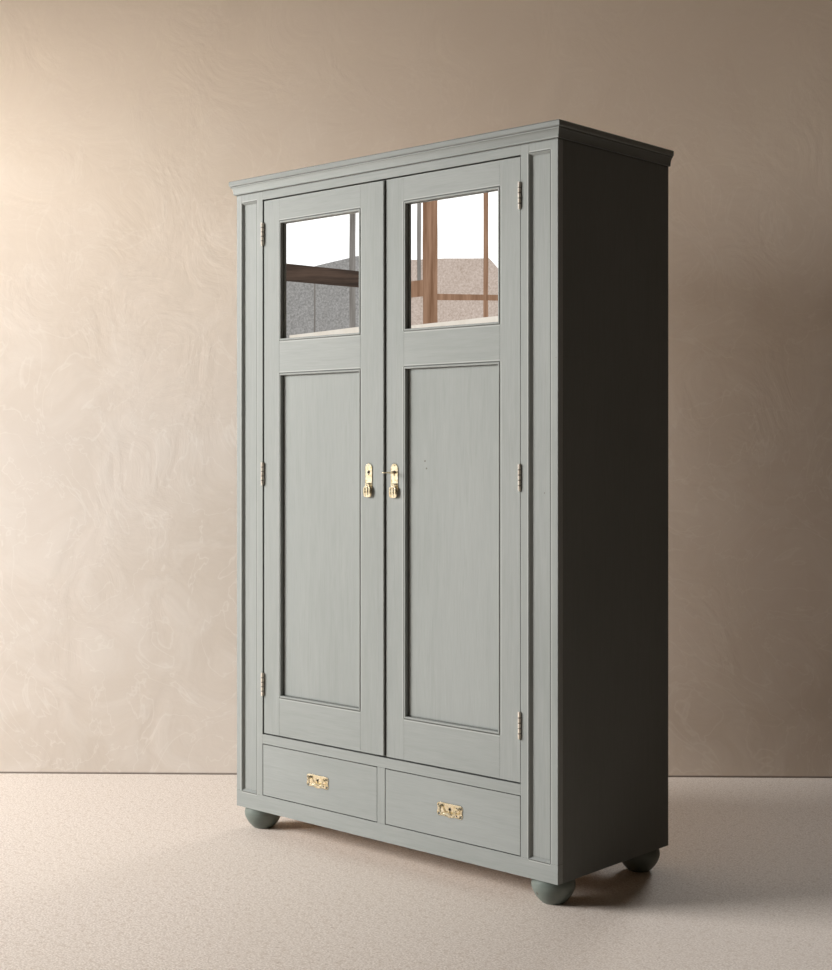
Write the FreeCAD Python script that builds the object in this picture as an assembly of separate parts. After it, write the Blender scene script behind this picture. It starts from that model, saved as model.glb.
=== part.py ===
import FreeCAD, Part
import math
import os

# A two-door wardrobe in painted pine: mirrors in the upper door panels, two drawers under the doors,
# a moulded cornice and turned bun feet. Sizes are in millimetres. +X is to the right of a person who
# faces the doors, -Y is the front and +Z is up. Every piece is drawn with the face frame's front at
# y = 0 and z = 0 on the floor, and export() moves it back so that the origin is the footprint's centre.

# ---- Driving dimensions ----

# Whole wardrobe
BODY_W = 1240.0           # across the outside of the sides
BODY_D = 510.0            # from the face frame's front to the back boards
TOTAL_H = 2000.0          # floor to the top of the cornice
FOOT_H = 66.0             # floor to the underside of the carcass

# Board thicknesses
SIDE_T = 20.0
FACE_T = 22.0             # face frame
BACK_T = 12.0
SHELF_T = 18.0            # bottom, deck, roof and partition
HOUSING = 6.0             # depth that boards are let into the sides

# Face frame
PILASTER_W = 120.0
OUTER_STILE_W = 24.0
INNER_STILE_W = 27.0
RECESS = 8.0              # pilaster panel behind the frame's face
PILASTER_PANEL_T = 7.0
PILASTER_BEVEL_W = 6.0
PILASTER_BEVEL_LIP = 0.8  # flat left round the strip at the frame's face
BOTTOM_RAIL_H = 50.0
DRAWER_OPEN_H = 158.0
MID_RAIL_H = 29.0
HEADER_H = 53.0
MUNTIN_W = 30.0

# Cornice
CORNICE_TOP_T = 17.0
CORNICE_TOP_OUT = 17.5
CORNICE_TOP_R = CORNICE_TOP_T / 4
COVE_H = 26.0
COVE_OUT_TOP = 14.0
COVE_OUT_BOTTOM = 7.5
COVE_FILLET = 4.0         # height of the small squares above and below the hollow
COVE_QUIRK = 2.0          # overhang of the upper square beyond the hollow
COVE_SAG = 0.25           # depth of the hollow, as a share of its overhang

# Doors
DOOR_T = 24.0
DOOR_SETBACK = 3.0        # door face behind the frame's face
DOOR_GAP = 3.5            # over, under and at the hinge side of each door
MEETING_GAP = 3.0
HINGE_STILE_W = 68.5
PANEL_INNER = 85.0        # from the centre line to the near edge of each door's panels
TOP_RAIL_H = 68.5
MIRROR_OPEN_H = 360.0
LOCK_RAIL_H = 99.0
DOOR_FOOT_RAIL_H = 115.5
PANEL_SETBACK = 12.0      # panel and mirror behind the door's face
DOOR_PANEL_T = 8.0
GROOVE = 8.0
TENON_L = 45.0
TENON_T = 8.0
HAUNCH = 12.0
MIRROR_T = 4.0
MIRROR_BACK_T = 5.0
MIRROR_PLAY = 0.5
BEAD_W = 6.0
BEAD_PROUD = 1.0
BEAD_ROUND = 2.4
STRIP_W = 28.0
STRIP_T = 7.0
STRIP_END_GAP = 2.0
STRIP_ROUND = 2.0

# Door hinges
HINGE_L = 68.0
KNUCKLES = 5
KNUCKLE_R = 3.5
KNUCKLE_PLAY = 0.3
KNUCKLE_RELIEF = 0.1      # the leaf stands this much further back from the other leaf's knuckles
HINGE_PIN_R = 1.6
HINGE_PIN_HEAD_R = 3.0
HINGE_PIN_HEAD_T = 1.2
PIN_PLAY = 0.06           # radial running clearance
LEAF_T = 1.6
LEAF_W = 24.0             # from the knuckle's axis to the leaf's edge
LEAF_SCREW_R = 3.0
LEAF_SCREW_ACROSS = (0.45, 0.72, 0.45)   # the three screws, as shares of the leaf's width
TOP_HINGE_DROP = 101.5    # door's top to the upper hinge's middle
MID_HINGE_RISE = 789.5    # door's foot to the middle hinge's middle
LOW_HINGE_RISE = 148.5    # door's foot to the lower hinge's middle

# Door pulls and lock
PULL_OUT = 50.0           # centre line to the middle of each pull plate
PLATE_RISE = 745.5        # door's foot to the lower end of the plate
PLATE_W = 28.0
PLATE_H = 78.0
PLATE_T = 2.0
PULL_PIVOT_RISE = 20.0    # plate's lower end to the pull's pivot
PULL_STANDOFF = 5.0       # plate's front to the pull's pivot
PULL_PIN_R = 1.5
PULL_EYE_R = 2.6
PULL_EAR_W = 6.0
PULL_LUG_W = 4.0
PULL_W = 33.0
PULL_TOP_W = 21.0
PULL_H = 34.0
PULL_SHOULDER = 0.45      # height of the bell's shoulder, as a share of its own height
PULL_NECK = 2.0           # eye to the bell's upper end
PULL_T = 6.0
PULL_ROUND = PULL_T / 3
KEYHOLE_RISE = 53.0       # plate's lower end to the keyhole's round part
KEYHOLE_R = 3.4
KEYHOLE_SLOT_W = 3.4
KEYHOLE_SLOT_L = 9.0
KEY_R = 2.5
KEY_REACH = 44.0          # plate's front to the end of the bow
BOW_L = 22.0
BOW_W = 26.0
BOW_BAR = 4.0
BOW_T = 3.0
BOW_ROUND = BOW_T / 3
KEY_COLLAR_R = 4.0
KEY_COLLAR_T = 3.0
KEY_BIT_R = 9.0
KEY_BIT_T = 3.0
KEY_BIT_L = 5.0
LOCK_W = 49.0
LOCK_H = 64.0
LOCK_T = 13.0
LOCK_WALL = 2.0
LOCK_BELOW_KEY = 27.0     # key's axis to the lock case's lower end
LOCK_BOLT_H = 10.0
LOCK_BOLT_T = 4.5
LOCK_BOLT_L = 39.0
LOCK_BOLT_RISE = 16.0     # key's axis to the bolt's middle
LOCK_BOLT_TRAVEL = 9.0
LOCK_PLAY = 0.3
KEY_BORE_PLAY = 2.0

# Sliding bolts behind the left door
SLIDE_BOLT_R = 4.0
SLIDE_BOLT_L = 150.0
SLIDE_BOLT_OUT = 40.0     # centre line to the bolts' axis
SLIDE_BOLT_TRAVEL = 12.0
SLIDE_BOLT_PLAY = 0.08
SLIDE_BOLT_REST = 3.0     # bolt's tip to the door stop at rest
BOLT_PLATE_W = 24.0
BOLT_PLATE_L = 120.0
BOLT_PLATE_T = 2.0
BOLT_GUIDE_W = 16.0
BOLT_GUIDE_H = 10.0
BOLT_GUIDE_T = 12.0
BOLT_GUIDE_INSET = 2.0
BOLT_TIP_SHOWN = 6.0
BOLT_KNOB_R = 3.5
BOLT_KNOB_L = 14.0
BOLT_SOCKET_PLAY = 1.0

# Inside
ROOF_RISE = 10.0          # header's lower edge to the roof board's underside
STOP_D = 22.5
STOP_TOP_H = 25.0
STOP_FOOT_H = 12.0
STOP_GAP = 0.5
RAIL_R = 12.5
RAIL_DROP = 140.0         # roof board's underside to the clothes rail's axis
RAIL_PLAY = 0.3
SOCKET_R = 28.0
SOCKET_T = 14.0
SOCKET_DEPTH = 10.0
PLANKS = 5
PLANK_GAP = 0.8

# Drawers
DRAWER_GAP = 2.0
DRAWER_SETBACK = 0.5
DRAWER_FRONT_T = 20.0
DRAWER_SIDE_T = 12.0
DRAWER_TOP_ROOM = 19.6    # drawer's side to the top of its opening
DRAWER_BACK_ROOM = 37.5   # drawer's back to the back boards
DRAWER_BOTTOM_T = 6.0
DRAWER_BOTTOM_RISE = 12.0
DRAWER_BACK_DROP = 8.0
DRAWER_GROOVE = 6.0
RUNNING_GAP = 0.4
RUNNER_T = 18.0
RUNNER_UNDER = 22.0       # bearer under the drawer's side
RUNNER_LIP_H = 30.0
RUNNER_LIP_T = 18.0

# Drawer pulls
BAIL_PLATE_W = 92.0
BAIL_PLATE_H = 40.0
BAIL_PLATE_T = 1.6
BAIL_PLATE_NOTCH_R = 4.0
POST_SPAN = 66.0
POST_RISE = 9.0           # plate's middle to the posts' axis
POST_R = 3.6
POST_STANDOFF = 6.0       # plate's front to the bail's pivot
POST_W = 4.0
BAIL_PIN_R = 1.3
BAIL_ARM_R = 1.8
BAIL_DROP = 17.0
BAIL_BULGE = 4.0
BAIL_GRIP_R = 3.2
BAIL_GRIP_END_R = 1.8
BAIL_PLAY = 0.6

# Bun feet
FOOT_R = 57.5
FOOT_INSET = 58.0         # carcass edge to the foot's axis
FOOT_RING_DROP = 19.0     # carcass to the foot's widest ring
FOOT_RING_OUT = 6.5       # widest ring beyond the foot's top edge
FOOT_BELLY_R = 80.0       # curve of the belly below the swell
FOOT_PAD_R = 29.0
SPIGOT_R = 14.0
SPIGOT_L = 16.0
SPIGOT_PLAY = 0.1

# ---- Places that follow from the sizes ----

LEFT, RIGHT = -1, 1
INSIDE_X = BODY_W / 2 - SIDE_T
OPEN_X = BODY_W / 2 - PILASTER_W
DRAWER_Z0 = FOOT_H + BOTTOM_RAIL_H
DRAWER_Z1 = DRAWER_Z0 + DRAWER_OPEN_H
OPEN_Z0 = DRAWER_Z1 + MID_RAIL_H
BOARDS_TOP = TOTAL_H - CORNICE_TOP_T
OPEN_Z1 = BOARDS_TOP - HEADER_H
ROOF_Z = OPEN_Z1 + ROOF_RISE
BACK_Y = BODY_D - BACK_T

DOOR_FACE = DOOR_SETBACK
DOOR_BACK = DOOR_FACE + DOOR_T
DOOR_Z0 = OPEN_Z0 + DOOR_GAP
DOOR_Z1 = OPEN_Z1 - DOOR_GAP
DOOR_EDGE = OPEN_X - DOOR_GAP
PANEL_OUTER = DOOR_EDGE - HINGE_STILE_W
PANEL_Y = DOOR_FACE + PANEL_SETBACK
MIRROR_Z1 = DOOR_Z1 - TOP_RAIL_H
MIRROR_Z0 = MIRROR_Z1 - MIRROR_OPEN_H
PANEL_Z1 = MIRROR_Z0 - LOCK_RAIL_H
PANEL_Z0 = DOOR_Z0 + DOOR_FOOT_RAIL_H

HINGE_OUT = OPEN_X - DOOR_GAP / 2
HINGE_Y = -KNUCKLE_R
HINGE_ZS = (DOOR_Z0 + LOW_HINGE_RISE, DOOR_Z0 + MID_HINGE_RISE, DOOR_Z1 - TOP_HINGE_DROP)

PLATE_Z0 = DOOR_Z0 + PLATE_RISE
PLATE_FRONT = DOOR_FACE - PLATE_T
PIVOT_Y = PLATE_FRONT - PULL_STANDOFF
PIVOT_Z = PLATE_Z0 + PULL_PIVOT_RISE
KEY_Z = PLATE_Z0 + KEYHOLE_RISE
KEY_TIP_Y = PLATE_FRONT - KEY_REACH
LOCK_Y = DOOR_BACK - LOCK_T
LOCK_Z0 = KEY_Z - LOCK_BELOW_KEY
LOCK_BOLT_Y = LOCK_Y + LOCK_WALL + LOCK_PLAY
SLIDE_BOLT_Y = DOOR_BACK + BOLT_PLATE_T + BOLT_GUIDE_T / 2
STOP_Y = DOOR_BACK + STOP_GAP

DRAWER_IN = MUNTIN_W / 2 + DRAWER_GAP
DRAWER_OUT = OPEN_X - DRAWER_GAP
DRAWER_FOOT = DRAWER_Z0 + RUNNING_GAP
DRAWER_TOP = DRAWER_Z1 - DRAWER_TOP_ROOM
DRAWER_REAR = BACK_Y - DRAWER_BACK_ROOM
DRAWER_BOTTOM_Z = DRAWER_FOOT + DRAWER_BOTTOM_RISE
BAIL_X = (DRAWER_IN + DRAWER_OUT) / 2
BAIL_Z = (DRAWER_Z0 + DRAWER_Z1) / 2
BAIL_FRONT = DRAWER_SETBACK - BAIL_PLATE_T
BAIL_Y = BAIL_FRONT - POST_STANDOFF
POST_Z = BAIL_Z + POST_RISE

# The key's bow is the foremost piece, so the footprint runs from it to the back boards.
FACE_Y = (-KEY_TIP_Y - BODY_D) / 2

AXIS_X = FreeCAD.Vector(1, 0, 0)
AXIS_Y = FreeCAD.Vector(0, 1, 0)
AXIS_Z = FreeCAD.Vector(0, 0, 1)


# ---- Drawing helpers ----

def at(x, y, z):
    return FreeCAD.Vector(x, y, z)


def block(x0, x1, y0, y1, z0, z1):
    """A square-cut board between two opposite corners."""
    return Part.makeBox(x1 - x0, y1 - y0, z1 - z0, at(x0, y0, z0))


def side_block(side, out0, out1, y0, y1, z0, z1):
    """A board placed by its distances out from the centre line, on the left or the right."""
    x0, x1 = sorted((side * out0, side * out1))
    return block(x0, x1, y0, y1, z0, z1)


def rod(radius, start, length, direction):
    return Part.makeCylinder(radius, length, start, direction)


def outline(points):
    """A flat face inside straight lines through the points."""
    return Part.Face(Part.makePolygon(points + points[:1]))


def front_edges(shape, y):
    """The edges of a shape that lie in the plane at this depth."""
    return [e for e in shape.Edges if abs(e.BoundBox.YMin - y) < 1e-6 and abs(e.BoundBox.YMax - y) < 1e-6]


def fused(shapes):
    """One clean solid from pieces that are cut from the same stock."""
    return shapes[0].multiFuse(shapes[1:]).removeSplitter()


def export(name, shapes):
    """Write a node, moved so that the origin is the centre of the footprint on the floor."""
    pieces = shapes if isinstance(shapes, list) else [shapes]
    moved = [piece.translated(at(0, FACE_Y, 0)) for piece in pieces]
    solids = [solid for piece in moved for solid in piece.Solids]
    shape = solids[0] if len(solids) == 1 else Part.makeCompound(solids)
    shape.exportStep("parts/" + name + ".step")


# ---- Carcass boards ----

def shelf(z):
    """A board across the carcass, housed in both sides."""
    reach = INSIDE_X + HOUSING
    return block(-reach, reach, FACE_T, BACK_Y, z, z + SHELF_T)


def foot_centres():
    x = BODY_W / 2 - FOOT_INSET
    return [(sx * x, y) for sx in (LEFT, RIGHT) for y in (FOOT_INSET, BODY_D - FOOT_INSET)]


def bottom_board():
    """The lowest board, bored for the feet's spigots."""
    board = shelf(FOOT_H)
    for x, y in foot_centres():
        board = board.cut(rod(SPIGOT_R + SPIGOT_PLAY, at(x, y, FOOT_H), SHELF_T, AXIS_Z))
    return board


def deck_board():
    """The floor of the hanging space, level with the top of the middle rail."""
    return shelf(OPEN_Z0 - SHELF_T)


def carcass_side(side):
    """A side board, housed for the three boards that cross the carcass."""
    board = side_block(side, INSIDE_X, BODY_W / 2, FACE_T, BODY_D, FOOT_H, BOARDS_TOP)
    for z in (FOOT_H, OPEN_Z0 - SHELF_T, ROOF_Z):
        board = board.cut(shelf(z))
    return board


def back_boards():
    """Upright planks between the sides, with a narrow shrinkage gap at each joint."""
    pitch = 2 * INSIDE_X / PLANKS
    planks = []
    for i in range(PLANKS):
        x0 = -INSIDE_X + i * pitch + (PLANK_GAP / 2 if i else 0)
        x1 = -INSIDE_X + (i + 1) * pitch - (PLANK_GAP / 2 if i < PLANKS - 1 else 0)
        planks.append(block(x0, x1, BACK_Y, BODY_D, FOOT_H, BOARDS_TOP))
    return planks


def drawer_partition():
    """The upright board between the two drawers."""
    return block(-SHELF_T / 2, SHELF_T / 2, FACE_T, BACK_Y, FOOT_H + SHELF_T, OPEN_Z0 - SHELF_T)


def bun_foot(x, y):
    """A turned foot: a flat pad, a belly that runs smoothly into a round swell, and a spigot on top."""
    swell_r = (FOOT_RING_OUT ** 2 + FOOT_RING_DROP ** 2) / (2 * FOOT_RING_OUT)
    centre = at(FOOT_R - swell_r, 0, FOOT_H - FOOT_RING_DROP)
    pad = at(FOOT_PAD_R, 0, 0)
    reach = centre - pad
    apart = FOOT_BELLY_R - swell_r
    turn = math.atan2(reach.z, -reach.x) - math.acos(
        (FOOT_BELLY_R ** 2 - apart ** 2 - reach.Length ** 2) / (2 * apart * reach.Length))
    out = at(math.cos(turn), 0, -math.sin(turn))
    belly_start = centre + out * swell_r
    belly_centre = centre - out * apart
    middle = (belly_start + pad) * 0.5 - belly_centre
    belly = Part.Arc(belly_start, belly_centre + middle * (FOOT_BELLY_R / middle.Length), pad).toShape()
    shoulder = at(FOOT_R - FOOT_RING_OUT, 0, FOOT_H)
    swell = Part.Arc(belly_start, at(FOOT_R, 0, centre.z), shoulder).toShape()
    top = FOOT_H + SPIGOT_L
    rim = Part.makePolygon([shoulder, at(SPIGOT_R, 0, FOOT_H), at(SPIGOT_R, 0, top), at(0, 0, top),
                            at(0, 0, 0), pad])
    half = Part.Face(Part.Wire([swell] + rim.Edges + [belly]))
    return half.revolve(at(0, 0, 0), AXIS_Z, 360).translated(at(x, y, 0))


def bun_feet():
    return [bun_foot(x, y) for x, y in foot_centres()]


# ---- Face frame ----

def pilaster_recess(side):
    """Outward distances of the inner and outer edges of a pilaster's recess."""
    return OPEN_X + INNER_STILE_W, BODY_W / 2 - OUTER_STILE_W


def pilaster_panel(side, tongue=GROOVE):
    """The sunk panel, with its tongue in grooves all round."""
    inner, outer = pilaster_recess(side)
    return side_block(side, inner - tongue, outer + tongue, RECESS, RECESS + PILASTER_PANEL_T,
                      DRAWER_Z0 - tongue, OPEN_Z1 + tongue)


def pilaster_frame(side):
    """Two stiles and a top piece round the sunk panel, let in for the door's hinges."""
    inner, outer = pilaster_recess(side)
    inner_stile = side_block(side, OPEN_X, inner, 0, FACE_T, DRAWER_Z0, BOARDS_TOP)
    outer_stile = side_block(side, outer, BODY_W / 2, 0, FACE_T, DRAWER_Z0, BOARDS_TOP)
    top_piece = side_block(side, inner, outer, 0, FACE_T, OPEN_Z1, BOARDS_TOP)
    for z in HINGE_ZS:
        inner_stile = inner_stile.cut(leaf_plate(side, OPEN_X, OPEN_X + LEAF_T, z))
    panel = pilaster_panel(side)
    return [piece.cut(panel) for piece in (inner_stile, outer_stile, top_piece)]


def pilaster_bevel(side):
    """The mitred strip that slopes from the frame's face down to the sunk panel."""
    inner, outer = pilaster_recess(side)
    x0, x1 = sorted((side * inner, side * outer))
    strip = block(x0, x1, 0, RECESS, DRAWER_Z0, OPEN_Z1)
    rims = []
    for y, inset in ((0, PILASTER_BEVEL_LIP), (RECESS, PILASTER_BEVEL_W)):
        corners = [at(x0 + inset, y, DRAWER_Z0 + inset), at(x1 - inset, y, DRAWER_Z0 + inset),
                   at(x1 - inset, y, OPEN_Z1 - inset), at(x0 + inset, y, OPEN_Z1 - inset)]
        rims.append(Part.makePolygon(corners + corners[:1]))
    return strip.cut(Part.makeLoft(rims, True, True))


def bottom_rail():
    """The rail under the drawers, across the whole front, grooved for the pilaster panels."""
    rail = block(-BODY_W / 2, BODY_W / 2, 0, FACE_T, FOOT_H, DRAWER_Z0)
    for side in (LEFT, RIGHT):
        rail = rail.cut(pilaster_panel(side))
    return rail


def middle_rail():
    return block(-OPEN_X, OPEN_X, 0, FACE_T, DRAWER_Z1, OPEN_Z0)


def header_rail():
    return block(-OPEN_X, OPEN_X, 0, FACE_T, OPEN_Z1, BOARDS_TOP)


def drawer_muntin():
    """The short upright between the drawer fronts."""
    return block(-MUNTIN_W / 2, MUNTIN_W / 2, 0, FACE_T, DRAWER_Z0, DRAWER_Z1)


# ---- Cornice ----

def cove_profile(place):
    """The moulding's section: a small square, a hollow and a larger square. place(out, z) is a point."""
    z0 = BOARDS_TOP - COVE_H
    z1 = z0 + COVE_FILLET
    z2 = BOARDS_TOP - COVE_FILLET
    sag = (COVE_OUT_TOP - COVE_OUT_BOTTOM) * COVE_SAG
    middle = ((COVE_OUT_TOP + COVE_OUT_BOTTOM) / 2 - sag, (z1 + z2) / 2 + sag)
    end = place(COVE_OUT_TOP - COVE_QUIRK, z2)
    hollow = Part.Arc(place(COVE_OUT_BOTTOM, z1), place(*middle), end).toShape()
    lower = Part.makePolygon([place(0, z0), place(COVE_OUT_BOTTOM, z0), place(COVE_OUT_BOTTOM, z1)])
    upper = Part.makePolygon([end, place(COVE_OUT_TOP, z2),
                              place(COVE_OUT_TOP, BOARDS_TOP), place(0, BOARDS_TOP), place(0, z0)])
    return Part.Face(Part.Wire(lower.Edges + [hollow] + upper.Edges))


def mitre_wedge():
    """The upright wedge in front of the carcass that bounds the cornice's front piece."""
    reach = 2 * COVE_OUT_TOP
    x = BODY_W / 2
    corners = [at(-x, 0, 0), at(-x - reach, -reach, 0), at(x + reach, -reach, 0), at(x, 0, 0)]
    return outline(corners).extrude(AXIS_Z * TOTAL_H)


def cornice_front():
    x = BODY_W / 2 + COVE_OUT_TOP
    stick = cove_profile(lambda out, z: at(-x, -out, z)).extrude(AXIS_X * 2 * x)
    return stick.common(mitre_wedge())


def cornice_returns():
    """The moulding along both sides, mitred to the front piece."""
    pieces = []
    for side in (LEFT, RIGHT):
        section = cove_profile(lambda out, z, s=side: at(s * (BODY_W / 2 + out), -COVE_OUT_TOP, z))
        stick = section.extrude(AXIS_Y * (BODY_D + COVE_OUT_TOP))
        pieces.append(stick.cut(mitre_wedge()))
    return pieces


def cornice_top():
    """The top board, with its front and side edges rounded over."""
    x = BODY_W / 2 + CORNICE_TOP_OUT
    board = block(-x, x, -CORNICE_TOP_OUT, BODY_D, BOARDS_TOP, TOTAL_H)
    rounded = [e for e in board.Edges if e.BoundBox.ZLength < 1e-6 and e.BoundBox.YMin < BODY_D - 1]
    return board.makeFillet(CORNICE_TOP_R, rounded)


# ---- Inside the carcass ----

def drawer_runner(side, near, far, lip0, lip1):
    """A bearer under one edge of a drawer, with an upright lip that guides the drawer's side."""
    bearer = side_block(side, near, far, FACE_T, BACK_Y, DRAWER_Z0 - RUNNER_T, DRAWER_Z0)
    lip = side_block(side, lip0, lip1, FACE_T, BACK_Y, DRAWER_Z0, DRAWER_Z0 + RUNNER_LIP_H)
    return fused([bearer, lip])


def drawer_runners():
    runners = []
    for side in (LEFT, RIGHT):
        runners.append(drawer_runner(side, OPEN_X - RUNNER_UNDER, INSIDE_X, OPEN_X, OPEN_X + RUNNER_LIP_T))
        runners.append(drawer_runner(side, SHELF_T / 2, MUNTIN_W / 2 + RUNNER_UNDER,
                                     SHELF_T / 2, MUNTIN_W / 2))
    return runners


def door_stops():
    """Battens that the doors close against, bored for the left door's sliding bolts."""
    top = block(-INSIDE_X, INSIDE_X, STOP_Y, STOP_Y + STOP_D, ROOF_Z - STOP_TOP_H, ROOF_Z)
    foot = block(-INSIDE_X, INSIDE_X, STOP_Y, STOP_Y + STOP_D, OPEN_Z0, OPEN_Z0 + STOP_FOOT_H)
    bore = rod(SLIDE_BOLT_R + BOLT_SOCKET_PLAY, at(-SLIDE_BOLT_OUT, SLIDE_BOLT_Y, 0), TOTAL_H, AXIS_Z)
    return [top.cut(bore), foot.cut(bore)]


def clothes_rail():
    half = INSIDE_X - SOCKET_T + SOCKET_DEPTH - RAIL_PLAY
    return rod(RAIL_R, at(-half, (FACE_T + BACK_Y) / 2, ROOF_Z - RAIL_DROP), 2 * half, AXIS_X)


def rail_sockets():
    """Turned rosettes on the sides that hold the ends of the clothes rail."""
    y = (FACE_T + BACK_Y) / 2
    z = ROOF_Z - RAIL_DROP
    sockets = []
    for side in (LEFT, RIGHT):
        disc = rod(SOCKET_R, at(side * INSIDE_X, y, z), SOCKET_T, AXIS_X * -side)
        mouth = at(side * (INSIDE_X - SOCKET_T), y, z)
        sockets.append(disc.cut(rod(RAIL_R + RAIL_PLAY, mouth, SOCKET_DEPTH, AXIS_X * side)))
    return sockets


# ---- Door hinges ----

def leaf_plate(side, out0, out1, z):
    """The flat of one hinge leaf, from the knuckle's axis back along the edge it is let into."""
    return side_block(side, out0, out1, HINGE_Y, HINGE_Y + LEAF_W, z - HINGE_L / 2, z + HINGE_L / 2)


def knuckle_span(z, index):
    """Lower end and length of one knuckle of a hinge whose middle is at z."""
    pitch = HINGE_L / KNUCKLES
    return z - HINGE_L / 2 + index * pitch, pitch


def hinge_leaf(side, z, out0, out1, own):
    """A leaf with its own knuckles, cleared round the other leaf's knuckles and bored for the pin."""
    axis = side * HINGE_OUT
    leaf = leaf_plate(side, out0, out1, z)
    barrels = []
    for index in range(KNUCKLES):
        foot, pitch = knuckle_span(z, index)
        if index in own:
            trim = KNUCKLE_PLAY / 2
            barrels.append(rod(KNUCKLE_R, at(axis, HINGE_Y, foot + trim), pitch - 2 * trim, AXIS_Z))
        else:
            grow = KNUCKLE_PLAY / 2
            clear = rod(KNUCKLE_R + KNUCKLE_PLAY + KNUCKLE_RELIEF, at(axis, HINGE_Y, foot - grow),
                        pitch + 2 * grow, AXIS_Z)
            leaf = leaf.cut(clear)
    whole = fused([leaf] + barrels)
    whole = whole.cut(rod(HINGE_PIN_R + PIN_PLAY, at(axis, HINGE_Y, z - HINGE_L), 2 * HINGE_L, AXIS_Z))
    for hole in leaf_screws(side, z, out0, out1):
        whole = whole.cut(hole)
    return whole


def leaf_screws(side, z, out0, out1):
    """Three screw heads in a staggered row, as thick as the leaf."""
    screws = []
    for step, across in zip((-1, 0, 1), LEAF_SCREW_ACROSS):
        start = at(side * out0, HINGE_Y + LEAF_W * across, z + step * HINGE_L / 3)
        screws.append(rod(LEAF_SCREW_R, start, out1 - out0, AXIS_X * side))
    return screws


def hinge_frame_leaves():
    own = range(0, KNUCKLES, 2)
    return [hinge_leaf(side, z, OPEN_X, OPEN_X + LEAF_T, own) for side in (LEFT, RIGHT) for z in HINGE_ZS]


def hinge_door_leaves(side):
    own = range(1, KNUCKLES, 2)
    return [hinge_leaf(side, z, DOOR_EDGE - LEAF_T, DOOR_EDGE, own) for z in HINGE_ZS]


def hinge_screws():
    """The screws of the frame's leaves."""
    screws = []
    for side in (LEFT, RIGHT):
        for z in HINGE_ZS:
            screws += leaf_screws(side, z, OPEN_X, OPEN_X + LEAF_T)
    return screws


def hinge_pins():
    """Pins with a flat head at each end of the knuckles."""
    pins = []
    for side in (LEFT, RIGHT):
        for z in HINGE_ZS:
            foot = at(side * HINGE_OUT, HINGE_Y, z - HINGE_L / 2 - HINGE_PIN_HEAD_T)
            shank = rod(HINGE_PIN_R, foot, HINGE_L + 2 * HINGE_PIN_HEAD_T, AXIS_Z)
            low = rod(HINGE_PIN_HEAD_R, foot, HINGE_PIN_HEAD_T, AXIS_Z)
            top = low.translated(at(0, 0, HINGE_L + HINGE_PIN_HEAD_T))
            pins.append(fused([shank, low, top]))
    return pins


# ---- Door woodwork ----

def meeting_edge(side):
    """Outward distance of a door's free edge: the left door carries the strip and passes the centre."""
    return -STRIP_W / 2 if side == LEFT else STRIP_W / 2 + MEETING_GAP


def door_panel(side):
    """The flat lower panel, with its edges in the frame's grooves."""
    return side_block(side, PANEL_INNER - GROOVE, PANEL_OUTER + GROOVE, PANEL_Y, PANEL_Y + DOOR_PANEL_T,
                      PANEL_Z0 - GROOVE, PANEL_Z1 + GROOVE)


def mirror_rebate(side):
    """The step behind the mirror opening, open to the door's back."""
    return side_block(side, PANEL_INNER - GROOVE, PANEL_OUTER + GROOVE, PANEL_Y, DOOR_BACK,
                      MIRROR_Z0 - GROOVE, MIRROR_Z1 + GROOVE)


def rail_tenons(side):
    """The tenons of the three rails, each running into both stiles."""
    y = DOOR_FACE + (DOOR_T - TENON_T) / 2
    spans = ((DOOR_Z0 + HAUNCH, PANEL_Z0), (PANEL_Z1, MIRROR_Z0), (MIRROR_Z1, DOOR_Z1 - HAUNCH))
    return [side_block(side, PANEL_INNER - TENON_L, PANEL_OUTER + TENON_L, y, y + TENON_T, z0, z1)
            for z0, z1 in spans]


def door_rails(side):
    spans = ((DOOR_Z0, PANEL_Z0), (PANEL_Z1, MIRROR_Z0), (MIRROR_Z1, DOOR_Z1))
    rails = []
    for (z0, z1), tenon in zip(spans, rail_tenons(side)):
        body = side_block(side, PANEL_INNER, PANEL_OUTER, DOOR_FACE, DOOR_BACK, z0, z1)
        rail = fused([body, tenon]).cut(mirror_rebate(side)).cut(door_panel(side))
        rails.append(rail.cut(lock_body()).cut(key_bore()) if side == RIGHT else rail)
    return rails


def door_stiles(side):
    """The two uprights, cut for tenons, panel, mirror, hinges and, on the right, the lock."""
    meeting = side_block(side, meeting_edge(side), PANEL_INNER, DOOR_FACE, DOOR_BACK, DOOR_Z0, DOOR_Z1)
    hinged = side_block(side, PANEL_OUTER, DOOR_EDGE, DOOR_FACE, DOOR_BACK, DOOR_Z0, DOOR_Z1)
    for z in HINGE_ZS:
        hinged = hinged.cut(leaf_plate(side, DOOR_EDGE - LEAF_T, DOOR_EDGE, z))
    stiles = []
    for stile in (meeting, hinged):
        for cutter in rail_tenons(side) + [mirror_rebate(side), door_panel(side)]:
            stile = stile.cut(cutter)
        stiles.append(stile)
    if side == RIGHT:
        stiles[0] = stiles[0].cut(lock_body()).cut(key_bore())
    else:
        stiles[0] = stiles[0].cut(lock_strike())
    return stiles


def mirror_sheet(side, y, thickness):
    """A sheet that lies in the mirror rebate with a little play all round."""
    grow = GROOVE - MIRROR_PLAY
    return side_block(side, PANEL_INNER - grow, PANEL_OUTER + grow, y, y + thickness,
                      MIRROR_Z0 - grow, MIRROR_Z1 + grow)


def bead_frame(side, z0, z1):
    """A mitred bead round an opening, its front rounded and a little proud of the door."""
    x0, x1 = sorted((side * PANEL_INNER, side * PANEL_OUTER))
    front = DOOR_FACE - BEAD_PROUD
    outer = block(x0, x1, front, PANEL_Y, z0, z1)
    hole = block(x0 + BEAD_W, x1 - BEAD_W, front, PANEL_Y, z0 + BEAD_W, z1 - BEAD_W)
    frame = outer.cut(hole)
    return frame.makeFillet(BEAD_ROUND, front_edges(frame, front))


def door_beads(side):
    return [bead_frame(side, PANEL_Z0, PANEL_Z1), bead_frame(side, MIRROR_Z0, MIRROR_Z1)]


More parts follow.
